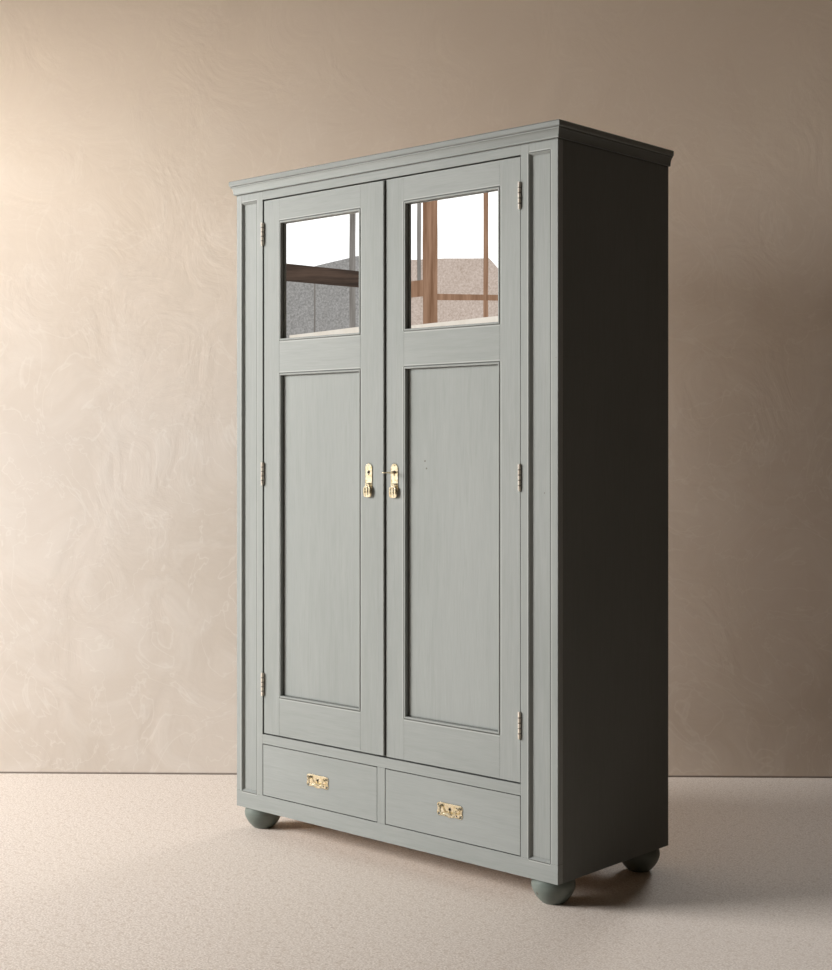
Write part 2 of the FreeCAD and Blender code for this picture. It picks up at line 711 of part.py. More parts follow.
def meeting_strip():
    """The cover strip on the left door's free edge, standing proud of the face frame."""
    y = DOOR_FACE - STRIP_T
    strip = block(-STRIP_W / 2, STRIP_W / 2, y, DOOR_FACE, DOOR_Z0 + STRIP_END_GAP, DOOR_Z1 - STRIP_END_GAP)
    return strip.makeFillet(STRIP_ROUND, front_edges(strip, y))


# ---- Door pulls ----

def keyhole(x, z, y0, y1, radius, slot_w):
    """The space of a keyhole: a round hole with a slot below it."""
    hole = rod(radius, at(x, y0, z), y1 - y0, AXIS_Y)
    slot = block(x - slot_w / 2, x + slot_w / 2, y0, y1, z - KEYHOLE_SLOT_L, z)
    return hole.fuse(slot)


def pull_plate(side):
    """The plate under a door pull, round-headed, with a keyhole and the pull's ear and pin."""
    x = side * PULL_OUT
    straight = block(x - PLATE_W / 2, x + PLATE_W / 2, PLATE_FRONT, DOOR_FACE,
                     PLATE_Z0, PLATE_Z0 + PLATE_H - PLATE_W / 2)
    head = rod(PLATE_W / 2, at(x, PLATE_FRONT, PLATE_Z0 + PLATE_H - PLATE_W / 2), PLATE_T, AXIS_Y)
    stem = block(x - PULL_EAR_W / 2, x + PULL_EAR_W / 2, PIVOT_Y, PLATE_FRONT,
                 PIVOT_Z - PULL_EYE_R / 2, PIVOT_Z + PULL_EYE_R / 2)
    eye = rod(PULL_EYE_R, at(x - PULL_EAR_W / 2, PIVOT_Y, PIVOT_Z), PULL_EAR_W, AXIS_X)
    pin_half = PULL_EAR_W / 2 + KNUCKLE_PLAY + PULL_LUG_W
    pin = rod(PULL_PIN_R, at(x - pin_half, PIVOT_Y, PIVOT_Z), 2 * pin_half, AXIS_X)
    plate = fused([straight, head, stem, eye, pin])
    return plate.cut(keyhole(x, KEY_Z, PLATE_FRONT, DOOR_FACE, KEYHOLE_R, KEYHOLE_SLOT_W))


def door_pull(side):
    """The bell-shaped drop pull, with two lugs that turn on the plate's pin."""
    x = side * PULL_OUT
    top = PIVOT_Z - PULL_EYE_R - PULL_NECK
    foot = top - PULL_H
    y = PIVOT_Y - PULL_T / 2
    shoulder = foot + PULL_H * PULL_SHOULDER
    half = outline([at(x - PULL_TOP_W / 2, y, top), at(x - PULL_W / 2, y, shoulder),
                    at(x - PULL_W / 2, y, foot), at(x + PULL_W / 2, y, foot),
                    at(x + PULL_W / 2, y, shoulder), at(x + PULL_TOP_W / 2, y, top)])
    bell = half.extrude(AXIS_Y * PULL_T)
    bell = bell.makeFillet(PULL_ROUND, front_edges(bell, y))
    lugs = []
    for lug in (LEFT, RIGHT):
        near = PULL_EAR_W / 2 + KNUCKLE_PLAY
        x0, x1 = sorted((x + lug * near, x + lug * (near + PULL_LUG_W)))
        lugs.append(rod(PULL_EYE_R, at(x0, PIVOT_Y, PIVOT_Z), x1 - x0, AXIS_X))
        lugs.append(block(x0, x1, PIVOT_Y - PULL_EYE_R / 2, PIVOT_Y + PULL_EYE_R / 2, top - 1, PIVOT_Z))
    pull = fused([bell] + lugs)
    return pull.cut(rod(PULL_PIN_R + PIN_PLAY, at(x - PULL_W, PIVOT_Y, PIVOT_Z), 2 * PULL_W, AXIS_X))


# ---- Lock and key in the right door ----

def lock_body():
    """The room that the lock case fills in the right door's meeting stile."""
    near = meeting_edge(RIGHT)
    return block(near, near + LOCK_W, LOCK_Y, DOOR_BACK, LOCK_Z0, LOCK_Z0 + LOCK_H)


def lock_bolt_bar(start, length, play):
    """The bolt's bar, from an outward distance, grown by a play for the slots that it runs in."""
    z = KEY_Z + LOCK_BOLT_RISE
    return block(start, start + length, LOCK_BOLT_Y - play, LOCK_BOLT_Y + LOCK_BOLT_T + play,
                 z - LOCK_BOLT_H / 2 - play, z + LOCK_BOLT_H / 2 + play)


def lock_case():
    """A hollow case with a slot for the bolt in its edge and a hole for the key in its front."""
    near = meeting_edge(RIGHT)
    case = lock_body()
    room = block(near + LOCK_WALL, near + LOCK_W - LOCK_WALL, LOCK_Y + LOCK_WALL, DOOR_BACK - LOCK_WALL,
                 LOCK_Z0 + LOCK_WALL, LOCK_Z0 + LOCK_H - LOCK_WALL)
    slot = lock_bolt_bar(near, 2 * LOCK_WALL, LOCK_PLAY)
    hole = keyhole(PULL_OUT, KEY_Z, LOCK_Y, LOCK_Y + LOCK_WALL, KEY_R + LOCK_PLAY, KEYHOLE_SLOT_W)
    return case.cut(room).cut(slot).cut(hole)


def lock_bolt():
    """The bolt, drawn back so that its end is just inside the door's edge."""
    return lock_bolt_bar(meeting_edge(RIGHT) + LOCK_PLAY, LOCK_BOLT_L, 0)


def lock_strike():
    """The pocket in the left door's edge that takes the thrown bolt."""
    depth = LOCK_BOLT_TRAVEL + LOCK_PLAY
    return lock_bolt_bar(STRIP_W / 2 - depth, depth, 2 * LOCK_PLAY)


def key_bore():
    """The keyhole through the wood between the plate and the lock case."""
    return keyhole(PULL_OUT, KEY_Z, DOOR_FACE, LOCK_Y, KEY_R + KEY_BORE_PLAY, KEYHOLE_SLOT_W + KEY_BORE_PLAY)


def key():
    """The key in its lock: an oval bow lying flat, a collar, the shank and a bit that hangs down."""
    middle = at(PULL_OUT, KEY_TIP_Y + BOW_L / 2, KEY_Z - BOW_T / 2)
    rim = Part.Ellipse(middle, BOW_W / 2, BOW_L / 2).toShape()
    eye = Part.Ellipse(middle, BOW_W / 2 - BOW_BAR, BOW_L / 2 - BOW_BAR).toShape()
    bow = Part.Face(Part.Wire(rim)).cut(Part.Face(Part.Wire(eye))).extrude(AXIS_Z * BOW_T)
    bow = bow.makeFillet(BOW_ROUND, bow.Edges)
    shank_y = KEY_TIP_Y + BOW_L - BOW_BAR / 2
    shank_end = DOOR_BACK - LOCK_WALL - LOCK_PLAY
    shank = rod(KEY_R, at(PULL_OUT, shank_y, KEY_Z), shank_end - shank_y, AXIS_Y)
    collar_y = PLATE_FRONT - 2 * KEY_COLLAR_T
    collar = rod(KEY_COLLAR_R, at(PULL_OUT, collar_y, KEY_Z), KEY_COLLAR_T, AXIS_Y)
    bit_y = LOCK_Y + LOCK_WALL + 2 * LOCK_PLAY
    bit = block(PULL_OUT - KEY_BIT_T / 2, PULL_OUT + KEY_BIT_T / 2, bit_y, bit_y + KEY_BIT_L,
                KEY_Z - KEY_BIT_R, KEY_Z)
    return fused([bow, shank, collar, bit])


# ---- Sliding bolts behind the left door ----

def bolt_ends():
    """For the top and the bottom bolt: the way it shoots and the height of its tip at rest."""
    return ((1, ROOF_Z - STOP_TOP_H - SLIDE_BOLT_REST), (-1, OPEN_Z0 + STOP_FOOT_H + SLIDE_BOLT_REST))


def bolt_guide(way, tip):
    """A plate on the door's back with two square guides bored for the bolt."""
    x = -SLIDE_BOLT_OUT
    end = tip - way * BOLT_TIP_SHOWN
    z0, z1 = sorted((end, end - way * BOLT_PLATE_L))
    pieces = [block(x - BOLT_PLATE_W / 2, x + BOLT_PLATE_W / 2, DOOR_BACK, DOOR_BACK + BOLT_PLATE_T, z0, z1)]
    for z in (z0 + BOLT_GUIDE_INSET, z1 - BOLT_GUIDE_INSET - BOLT_GUIDE_H):
        pieces.append(block(x - BOLT_GUIDE_W / 2, x + BOLT_GUIDE_W / 2, DOOR_BACK + BOLT_PLATE_T,
                            DOOR_BACK + BOLT_PLATE_T + BOLT_GUIDE_T, z, z + BOLT_GUIDE_H))
    bore = rod(SLIDE_BOLT_R + SLIDE_BOLT_PLAY, at(x, SLIDE_BOLT_Y, z0), z1 - z0, AXIS_Z)
    return fused(pieces).cut(bore)


def slide_bolt(way, tip):
    """A round bolt with a knob that points into the wardrobe, halfway between its guides."""
    x = -SLIDE_BOLT_OUT
    foot = min(tip, tip - way * SLIDE_BOLT_L)
    bar = rod(SLIDE_BOLT_R, at(x, SLIDE_BOLT_Y, foot), SLIDE_BOLT_L, AXIS_Z)
    knob_z = tip - way * (BOLT_TIP_SHOWN + BOLT_PLATE_L / 2)
    knob = rod(BOLT_KNOB_R, at(x, SLIDE_BOLT_Y, knob_z), BOLT_KNOB_L, AXIS_Y)
    return fused([bar, knob])


# ---- Drawers ----

def drawer_bottom(side):
    """The thin bottom, grooved into the front and the sides and running under the back."""
    inset = DRAWER_SIDE_T - DRAWER_GROOVE
    y0 = DRAWER_SETBACK + DRAWER_FRONT_T - DRAWER_GROOVE
    return side_block(side, DRAWER_IN + inset, DRAWER_OUT - inset, y0, DRAWER_REAR,
                      DRAWER_BOTTOM_Z, DRAWER_BOTTOM_Z + DRAWER_BOTTOM_T)


def drawer_front(side):
    front = side_block(side, DRAWER_IN, DRAWER_OUT, DRAWER_SETBACK, DRAWER_SETBACK + DRAWER_FRONT_T,
                       DRAWER_Z0 + DRAWER_GAP, DRAWER_Z1 - DRAWER_GAP)
    return front.cut(drawer_bottom(side))


def drawer_box(side):
    """Two sides, the back and the bottom."""
    y0 = DRAWER_SETBACK + DRAWER_FRONT_T
    bottom = drawer_bottom(side)
    pieces = []
    for near in (DRAWER_IN, DRAWER_OUT - DRAWER_SIDE_T):
        board = side_block(side, near, near + DRAWER_SIDE_T, y0, DRAWER_REAR, DRAWER_FOOT, DRAWER_TOP)
        pieces.append(board.cut(bottom))
    pieces.append(side_block(side, DRAWER_IN + DRAWER_SIDE_T, DRAWER_OUT - DRAWER_SIDE_T,
                             DRAWER_REAR - DRAWER_SIDE_T, DRAWER_REAR,
                             DRAWER_BOTTOM_Z + DRAWER_BOTTOM_T, DRAWER_TOP - DRAWER_BACK_DROP))
    return pieces + [bottom]


def bail_plate(side):
    """The plate behind a drawer pull, notched at its ends, with a keyhole and two bored posts."""
    x = side * BAIL_X
    plate = block(x - BAIL_PLATE_W / 2, x + BAIL_PLATE_W / 2, BAIL_FRONT, DRAWER_SETBACK,
                  BAIL_Z - BAIL_PLATE_H / 2, BAIL_Z + BAIL_PLATE_H / 2)
    pieces = [plate]
    for end in (LEFT, RIGHT):
        post_x = x + end * POST_SPAN / 2
        pieces.append(rod(POST_R, at(post_x - POST_W / 2, BAIL_Y, POST_Z), POST_W, AXIS_X))
        pieces.append(block(post_x - POST_W / 2, post_x + POST_W / 2, BAIL_Y, BAIL_FRONT,
                            POST_Z - POST_R / 2, POST_Z + POST_R / 2))
    whole = fused(pieces)
    bore = rod(BAIL_PIN_R + PIN_PLAY, at(x - POST_SPAN, BAIL_Y, POST_Z), 2 * POST_SPAN, AXIS_X)
    cuts = [bore, keyhole(x, BAIL_Z + KEYHOLE_R, BAIL_FRONT, DRAWER_SETBACK, KEYHOLE_R, KEYHOLE_SLOT_W)]
    for end in (LEFT, RIGHT):
        notch = at(x + end * BAIL_PLATE_W / 2, BAIL_FRONT, BAIL_Z)
        cuts.append(rod(BAIL_PLATE_NOTCH_R, notch, BAIL_PLATE_T, AXIS_Y))
    for cutter in cuts:
        whole = whole.cut(cutter)
    return whole


def bail_pull(side):
    """A hanging bail: pins in the posts, two arms and a swollen grip that bows forward."""
    x = side * BAIL_X
    arm_x = POST_SPAN / 2 - POST_W / 2 - BAIL_PLAY - BAIL_ARM_R
    grip_y = BAIL_Y - BAIL_BULGE
    grip_z = POST_Z - BAIL_DROP
    pieces = []
    for end in (LEFT, RIGHT):
        eye = at(x + end * arm_x, BAIL_Y, POST_Z)
        elbow = at(x + end * arm_x, grip_y, grip_z)
        pin_l = POST_SPAN / 2 + POST_W / 2 - arm_x
        pieces.append(rod(BAIL_PIN_R, eye, pin_l, AXIS_X * end))
        pieces.append(rod(BAIL_ARM_R, eye, (elbow - eye).Length, elbow - eye))
        pieces.append(Part.makeSphere(BAIL_ARM_R, eye))
        pieces.append(Part.makeSphere(BAIL_ARM_R, elbow))
        middle = at(x, grip_y, grip_z)
        pieces.append(Part.makeCone(BAIL_GRIP_R, BAIL_GRIP_END_R, arm_x, middle, AXIS_X * end))
    return fused(pieces)


# ---- All nodes ----

def door_nodes(side, word):
    export(word + "_door_stiles", door_stiles(side))
    export(word + "_door_rails", door_rails(side))
    export(word + "_door_panel", door_panel(side))
    export(word + "_door_mirror", mirror_sheet(side, PANEL_Y, MIRROR_T))
    export(word + "_door_mirror_back", mirror_sheet(side, PANEL_Y + MIRROR_T, MIRROR_BACK_T))
    export(word + "_door_beads", door_beads(side))
    export(word + "_door_hinge_leaves", hinge_door_leaves(side))
    export(word + "_door_pull_plate", pull_plate(side))
    export(word + "_door_pull", door_pull(side))


def drawer_nodes(side, word):
    export(word + "_drawer_front", drawer_front(side))
    export(word + "_drawer_box", drawer_box(side))
    export(word + "_drawer_pull_plate", bail_plate(side))
    export(word + "_drawer_pull", bail_pull(side))


os.makedirs("parts", exist_ok=True)

export("bottom_board", bottom_board())
export("deck_board", deck_board())
export("roof_board", shelf(ROOF_Z))
export("back_boards", back_boards())
export("drawer_partition", drawer_partition())
export("bun_feet", bun_feet())
export("pilaster_panels", [pilaster_panel(LEFT), pilaster_panel(RIGHT)])
export("pilaster_bevels", [pilaster_bevel(LEFT), pilaster_bevel(RIGHT)])
export("bottom_rail", bottom_rail())
export("middle_rail", middle_rail())
export("header_rail", header_rail())
export("drawer_muntin", drawer_muntin())
export("cornice_front", cornice_front())
export("cornice_returns", cornice_returns())
export("cornice_top", cornice_top())
export("drawer_runners", drawer_runners())
export("door_stops", door_stops())
export("clothes_rail", clothes_rail())
export("rail_sockets", rail_sockets())
export("hinge_frame_leaves", hinge_frame_leaves())
export("hinge_frame_screws", hinge_screws())
export("hinge_pins", hinge_pins())
export("meeting_strip", meeting_strip())
export("lock_case", lock_case())
export("lock_bolt", lock_bolt())
export("key", key())
export("bolt_guides", [bolt_guide(way, tip) for way, tip in bolt_ends()])
export("top_bolt", slide_bolt(*bolt_ends()[0]))
export("bottom_bolt", slide_bolt(*bolt_ends()[1]))

for side, word in ((LEFT, "left"), (RIGHT, "right")):
    export(word + "_side", carcass_side(side))
    export(word + "_pilaster_frame", pilaster_frame(side))
    door_nodes(side, word)
    drawer_nodes(side, word)
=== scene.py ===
import math

import bmesh
import bpy
from mathutils import Matrix, Vector


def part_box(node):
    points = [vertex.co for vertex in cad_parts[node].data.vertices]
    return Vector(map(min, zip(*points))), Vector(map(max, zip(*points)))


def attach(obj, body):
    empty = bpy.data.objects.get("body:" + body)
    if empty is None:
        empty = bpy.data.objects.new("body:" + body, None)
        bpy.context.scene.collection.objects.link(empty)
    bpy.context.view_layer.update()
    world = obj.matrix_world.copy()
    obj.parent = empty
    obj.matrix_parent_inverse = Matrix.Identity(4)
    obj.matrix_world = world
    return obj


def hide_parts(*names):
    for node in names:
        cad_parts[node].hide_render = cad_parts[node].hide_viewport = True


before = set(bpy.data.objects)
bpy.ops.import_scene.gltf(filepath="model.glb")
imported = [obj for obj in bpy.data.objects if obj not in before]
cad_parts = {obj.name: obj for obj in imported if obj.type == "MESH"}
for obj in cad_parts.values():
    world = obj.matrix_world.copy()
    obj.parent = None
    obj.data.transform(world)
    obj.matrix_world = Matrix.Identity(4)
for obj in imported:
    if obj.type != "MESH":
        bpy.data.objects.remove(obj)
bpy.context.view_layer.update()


# ---- Backs, floors and inner boards ----
# Bare pine boards, planed and left unfinished: the back planks, the bottom, deck and roof boards,
# the partition and runners of the drawers, the door stops and the boards behind the mirrors.

PINE_PALE = (0.57, 0.41, 0.235, 1)
PINE_RING = (0.39, 0.235, 0.11, 1)
PINE_KNOT = (0.13, 0.055, 0.022, 1)
PINE_HONEY = (0.52, 0.33, 0.15, 1)
PLANKS = 5
PLANK_SHIFT, PLANK_SLIDE = 1.37, 5.1    # grain of one plank against the next, across and along
CORNER_JOIN = 0.00001                   # corners nearer than this are one
SHARP_EDGE = math.radians(32)


def give(tree, socket, value):
    """Sets a socket, or links it when the value is another node's output."""
    if isinstance(value, bpy.types.NodeSocket):
        tree.links.new(value, socket)
    else:
        socket.default_value = value


def put(tree, kind, fields=None, **sockets):
    """Adds a node with its own fields and its named sockets filled."""
    made = tree.nodes.new(kind)
    for field, value in (fields or {}).items():
        setattr(made, field, value)
    for name, value in sockets.items():
        give(tree, made.inputs[name.replace("_", " ")], value)
    return made


def reckon(tree, way, first, second=0.0):
    """One sum of two numbers."""
    made = tree.nodes.new("ShaderNodeMath")
    made.operation = way
    give(tree, made.inputs[0], first)
    give(tree, made.inputs[1], second)
    return made.outputs[0]


def times(tree, first, second):
    """The product of two numbers."""
    return reckon(tree, "MULTIPLY", first, second)


def gap(tree, first, second):
    """How far apart two numbers are."""
    return reckon(tree, "ABSOLUTE", reckon(tree, "SUBTRACT", first, second))


def spread(tree, value, low, high, out_low=0.0, out_high=1.0):
    """Stretches a band of values over another band, and holds it there."""
    made = put(tree, "ShaderNodeMapRange", {"clamp": True}, Value=value, From_Min=low, From_Max=high,
               To_Min=out_low, To_Max=out_high)
    return made.outputs[0]


def mixed(tree, share, first, second):
    """Two colours mixed by a share."""
    made = tree.nodes.new("ShaderNodeMix")
    made.data_type = "RGBA"
    for place, value in ((0, share), (6, first), (7, second)):
        give(tree, made.inputs[place], value)
    return made.outputs[2]


def over(tree, colour, tone, value, low, high, most):
    """Lays a tone over a colour, the more the nearer a value comes to the end of its band."""
    return mixed(tree, spread(tree, value, low, high, 0.0, most), colour, tone)


def cloudy(tree, place, size, detail=2.0, rough=0.5, warp=0.0):
    """Soft noise from 0 to 1."""
    made = put(tree, "ShaderNodeTexNoise", None, Vector=place, Scale=size, Detail=detail, Roughness=rough,
               Distortion=warp)
    return made.outputs["Fac"]


def own_place(tree):
    """The piece's own coordinates."""
    return tree.nodes.new("ShaderNodeTexCoord").outputs["Object"]


def split(tree, place):
    """The x, y and z of a place."""
    return put(tree, "ShaderNodeSeparateXYZ", None, Vector=place).outputs


def run_along(tree, grain, stretch, shift=0.0, plank=0.0):
    """The piece's own coordinates, squeezed along the grain so that marks run that way.
    With a plank width, every plank across x gets grain of its own."""
    place = own_place(tree)
    if plank:
        across = split(tree, place)[0]
        from_edge = reckon(tree, "ADD", across, plank * PLANKS / 2)
        step = reckon(tree, "FLOOR", reckon(tree, "DIVIDE", from_edge, plank))
        moved = times(tree, step, PLANK_SHIFT)
        apart = put(tree, "ShaderNodeCombineXYZ", None, X=moved, Y=moved, Z=times(tree, step, PLANK_SLIDE))
        added = tree.nodes.new("ShaderNodeVectorMath")
        give(tree, added.inputs[0], place)
        give(tree, added.inputs[1], apart.outputs[0])
        place = added.outputs[0]
    sizes = [1.0, 1.0, 1.0]
    for axis in grain:
        sizes["XYZ".index(axis)] = 1.0 / stretch
    mapped = put(tree, "ShaderNodeMapping", None, Vector=place, Scale=sizes, Location=(shift, shift, shift))
    return mapped.outputs[0]


def dirt_and_shade_in_hollows(tree, reach, open_at, shut_at):
    """Painted shade and dirt in hollows, from ambient occlusion: 1 in narrow corners and holes, 0 on open
    faces.
    """
    open_share = put(tree, "ShaderNodeAmbientOcclusion", {"samples": 6}, Distance=reach).outputs["AO"]
    return spread(tree, open_share, open_at, shut_at)


def pine_look(tree, grain, shift, plank=0.0):
    """Colour, roughness and height of planed pine with rings, fibres and a few knots."""
    far = run_along(tree, grain, 16.0, shift, plank)
    swirl = cloudy(tree, run_along(tree, grain, 5.0, shift, plank), 2.4, 3.0)
    ring = put(tree, "ShaderNodeTexWave", {"wave_type": "BANDS", "bands_direction": "DIAGONAL"}, Vector=far,
               Scale=8.5, Distortion=13.0, Detail=2.5, Detail_Scale=0.8).outputs["Fac"]
    ring = reckon(tree, "POWER", ring, 3.0)
    fibre = cloudy(tree, run_along(tree, grain, 60.0, shift), 420.0, 2.0)
    spaced = run_along(tree, grain, 1.7, shift, plank)
    knots = put(tree, "ShaderNodeTexVoronoi", None, Vector=spaced, Scale=3.4).outputs["Distance"]
    knot = spread(tree, knots, 0.075, 0.045)
    halo = spread(tree, knots, 0.20, 0.06)
    colour = mixed(tree, times(tree, ring, 0.75), PINE_PALE, PINE_RING)
    colour = mixed(tree, times(tree, fibre, 0.22), colour, PINE_RING)
    colour = mixed(tree, times(tree, swirl, 0.30), colour, PINE_HONEY)
    colour = mixed(tree, times(tree, halo, 0.45), colour, PINE_RING)
    colour = mixed(tree, times(tree, knot, 0.85), colour, PINE_KNOT)
    # Painted shade with dirt darkens the pine in its corners and holes.
    colour = mixed(tree, times(tree, dirt_and_shade_in_hollows(tree, 0.006, 0.78, 0.35), 0.8), colour, PINE_KNOT)
    rough = spread(tree, fibre, 0.2, 0.8, 0.52, 0.72)
    height = reckon(tree, "ADD", times(tree, ring, 0.6), fibre)
    return colour, rough, height


def finish_of(material, colour, rough, height, deep, **shader):
    """Closes a material: its colour, roughness and bump on one shader."""
    tree = material.node_tree
    bump = put(tree, "ShaderNodeBump", None, Height=height, Distance=deep, Strength=0.6).outputs[0]
    surface = tree.nodes["Principled BSDF"]
    for socket, value in (("Base Color", colour), ("Roughness", rough), ("Normal", bump)):
        give(tree, surface.inputs[socket], value)
    for socket, value in shader.items():
        surface.inputs[socket.replace("_", " ")].default_value = value
    return material


def new_material(name):
    """An empty material, and its node tree."""
    made = bpy.data.materials.new(name)
    made.use_nodes = True
    return made, made.node_tree


def bare_pine(name, grain, shift=0.0, plank=0.0):
    """Planed, unfinished pine with its grain along one axis."""
    made, tree = new_material(name)
    return finish_of(made, *pine_look(tree, grain, shift, plank), deep=0.00035)


def wear(node, material, rounding=0.0008):
    """Gives a CAD board its finish, and rounds its sharp edges as a plane and years of use do."""
    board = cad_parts[node]
    for place in range(len(board.material_slots)):
        board.material_slots[place].material = material
    if rounding:
        joined = board.modifiers.new("joined", "WELD")
        joined.merge_threshold = CORNER_JOIN
        edges = board.modifiers.new("rounded edges", "BEVEL")
        edges.width, edges.segments = rounding, 2
        edges.limit_method, edges.angle_limit = "ANGLE", SHARP_EDGE


low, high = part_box("back_boards")
PLANK_W = (high.x - low.x) / PLANKS
pine_upright = bare_pine("pine upright", "Z", 0.0, PLANK_W)
pine_level = bare_pine("pine level", "X", 0.31)
pine_deep = bare_pine("pine front to back", "Y", 0.57)
pine_turned = bare_pine("pine rail", "X", 0.83)

for board in ("bottom_board", "deck_board", "roof_board", "door_stops"):
    wear(board, pine_level, 0.0012)
for board in ("drawer_partition", "drawer_runners"):
    wear(board, pine_deep, 0.001)
for board in ("back_boards", "left_door_mirror_back", "right_door_mirror_back"):
    wear(board, pine_upright, 0.0012)
wear("clothes_rail", pine_turned, 0)
wear("rail_sockets", pine_deep, 0.001)


# ---- Painted carcass ----
# Sides, pilasters, rails, muntin and cornice, all pine under brushed grey-green chalk paint with a
# satin wax. The faces that look into the wardrobe were never painted and show the wood.

GREEN_LIGHT = (0.262, 0.275, 0.263, 1)
GREEN_DEEP = (0.232, 0.246, 0.233, 1)
GREEN_WORN = (0.305, 0.317, 0.302, 1)
GREEN_SHADE = (0.190, 0.203, 0.188, 1)
GREEN_RUBBED_AND_LIT = (0.40, 0.41, 0.39, 1)
CHIP_BROWN = (0.075, 0.06, 0.045, 1)
# Near-black for painted shade with dirt, in hollows and in the dark line along edges.
SHADE_AND_DIRT_DARK = (0.022, 0.022, 0.018, 1)
# Painted shadow and highlight lines along edges: where each lies from the edge, its half width, its tone
# and its share.
EDGE_SHADOW_AND_HIGHLIGHT_LINES = ((0.0008, 0.0018, SHADE_AND_DIRT_DARK, 0.75), (0.0040, 0.0020, GREEN_RUBBED_AND_LIT, 0.5))
INNER_X = 0.6008      # inner faces of the sides
INNER_Y = -0.2119     # back faces of the front frame
SIDE_SHADE, RETURN_SHADE, TOP_SHADE = 0.60, 0.64, 0.88    # painted shade: how dark the sides, cornice returns and top are beside the front


def paint_look(tree, grain, shift, depth=1.0, dirt_and_shade=0.85):
    """Colour, roughness and height of brushed paint over pine, darkened as painted shade where depth is
    under 1.
    """
    brushed = cloudy(tree, run_along(tree, grain, 34.0, shift), 560.0, 2.0, 0.6)
    broad = cloudy(tree, run_along(tree, grain, 9.0, shift), 60.0, 2.0)
    grown = cloudy(tree, run_along(tree, grain, 22.0, shift + 0.2), 130.0, 1.0, 0.5, 1.2)
    patches = cloudy(tree, run_along(tree, grain, 2.0, shift), 3.2, 2.0)
    colour = mixed(tree, spread(tree, patches, 0.3, 0.7), GREEN_DEEP, GREEN_LIGHT)
    colour = over(tree, colour, GREEN_WORN, broad, 0.35, 0.75, 0.35)
    colour = over(tree, colour, GREEN_SHADE, brushed, 0.3, 0.75, 0.36)
    colour = over(tree, colour, GREEN_SHADE, grown, 0.50, 0.72, 0.24)
    # Depth under 1 darkens the paint as painted shade.
    colour = mixed(tree, depth, (0, 0, 0, 1), colour)
    specks = put(tree, "ShaderNodeTexVoronoi", None, Vector=run_along(tree, grain, 1.0, shift), Scale=16.0)
    picked = reckon(tree, "GREATER_THAN", put(tree, "ShaderNodeSeparateColor", None,
                    Color=specks.outputs["Color"]).outputs[0], 0.86)
    speck = times(tree, spread(tree, specks.outputs["Distance"], 0.022, 0.014), picked)
    colour = mixed(tree, times(tree, speck, 0.7), colour, CHIP_BROWN)
    # Painted shade with dirt darkens the paint in corners and holes.
    dirt_and_shade_mask = dirt_and_shade_in_hollows(tree, 0.006, 0.90, 0.42)
    colour = mixed(tree, times(tree, dirt_and_shade_mask, dirt_and_shade), colour, SHADE_AND_DIRT_DARK)
    rough = spread(tree, broad, 0.3, 0.7, 0.58, 0.70)
    height = reckon(tree, "ADD", times(tree, brushed, 0.55), times(tree, grown, 0.8))
    height = reckon(tree, "SUBTRACT", height, speck)
    return colour, rough, height


def chipped(tree, colour, spots):
    """Dark chips in the paint at given places: (place, radius)."""
    place = own_place(tree)
    for spot, radius in spots:
        away = put(tree, "ShaderNodeVectorMath", {"operation": "DISTANCE"})
        give(tree, away.inputs[0], place)
        away.inputs[1].default_value = spot
        uneven = reckon(tree, "ADD", away.outputs["Value"],
                        times(tree, cloudy(tree, place, 900.0), radius * 0.9))
        mark = spread(tree, uneven, radius * 1.5, radius * 1.15)
        colour = mixed(tree, times(tree, mark, 0.85), colour, CHIP_BROWN)
    return colour


def edge_shadow_and_highlight(tree, colour, edges):
    """A dark line along an edge, partly painted shadow and partly old wax, and a pale line beside it,
    partly rubbed paint and partly painted highlight.
    An edge is its axis, its place along it, the way the board lies from it, and where it starts and ends
    along the other axis."""
    apart = split(tree, own_place(tree))
    across, up = reckon(tree, "ABSOLUTE", apart[0]), apart[2]
    for axis, edge, out, start, end in edges:
        over, along = (across, up) if axis == "X" else (up, across)
        beyond = times(tree, reckon(tree, "SUBTRACT", over, edge), out)
        past_start = reckon(tree, "GREATER_THAN", along, start)
        within = times(tree, past_start, reckon(tree, "LESS_THAN", along, end))
        for middle, half, tone, share in EDGE_SHADOW_AND_HIGHLIGHT_LINES:
            near = gap(tree, beyond, middle)
            line = times(tree, spread(tree, near, half, half * 0.6, 0.0, share), within)
            colour = mixed(tree, line, colour, tone)
    return colour


def green_paint(name, grain, shift=0.0, chips=(), bare_inside=False, depth=1.0, dirt_and_shade=0.85, edges=()):
    """Brushed grey-green paint, with bare pine on the faces inside the wardrobe."""
    made, tree = new_material(name)
    colour, rough, height = paint_look(tree, grain, shift, depth, dirt_and_shade)
    colour = edge_shadow_and_highlight(tree, colour, edges)
    colour = chipped(tree, colour, chips)
    if bare_inside:
        wood, wood_rough, wood_height = pine_look(tree, grain, shift)
        apart = split(tree, own_place(tree))
        within = reckon(tree, "LESS_THAN", reckon(tree, "ABSOLUTE", apart[0]), INNER_X)
        behind = reckon(tree, "GREATER_THAN", apart[1], INNER_Y)
        inside = times(tree, within, behind)
        colour = mixed(tree, inside, colour, wood)
        rough = mixed(tree, inside, rough, wood_rough)
        height = mixed(tree, inside, height, wood_height)
    return finish_of(made, colour, rough, height, deep=0.00016, Specular_IOR_Level=0.32)


PILASTER_CHIP = ((0.5714, -0.2255, 1.0575), 0.0016)
# The sides, the cornice's returns and its top take darker copies of the paint as painted shade.
shaded_paint_on_sides = green_paint("shaded paint on the sides", "Z", 0.0, bare_inside=True, depth=SIDE_SHADE)
paint_upright = green_paint("paint upright", "Z", 0.13, chips=(PILASTER_CHIP,), bare_inside=True)
recess_low, recess_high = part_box("pilaster_bevels")
RECESS_INNER = 0.527  # the recess's inner edge
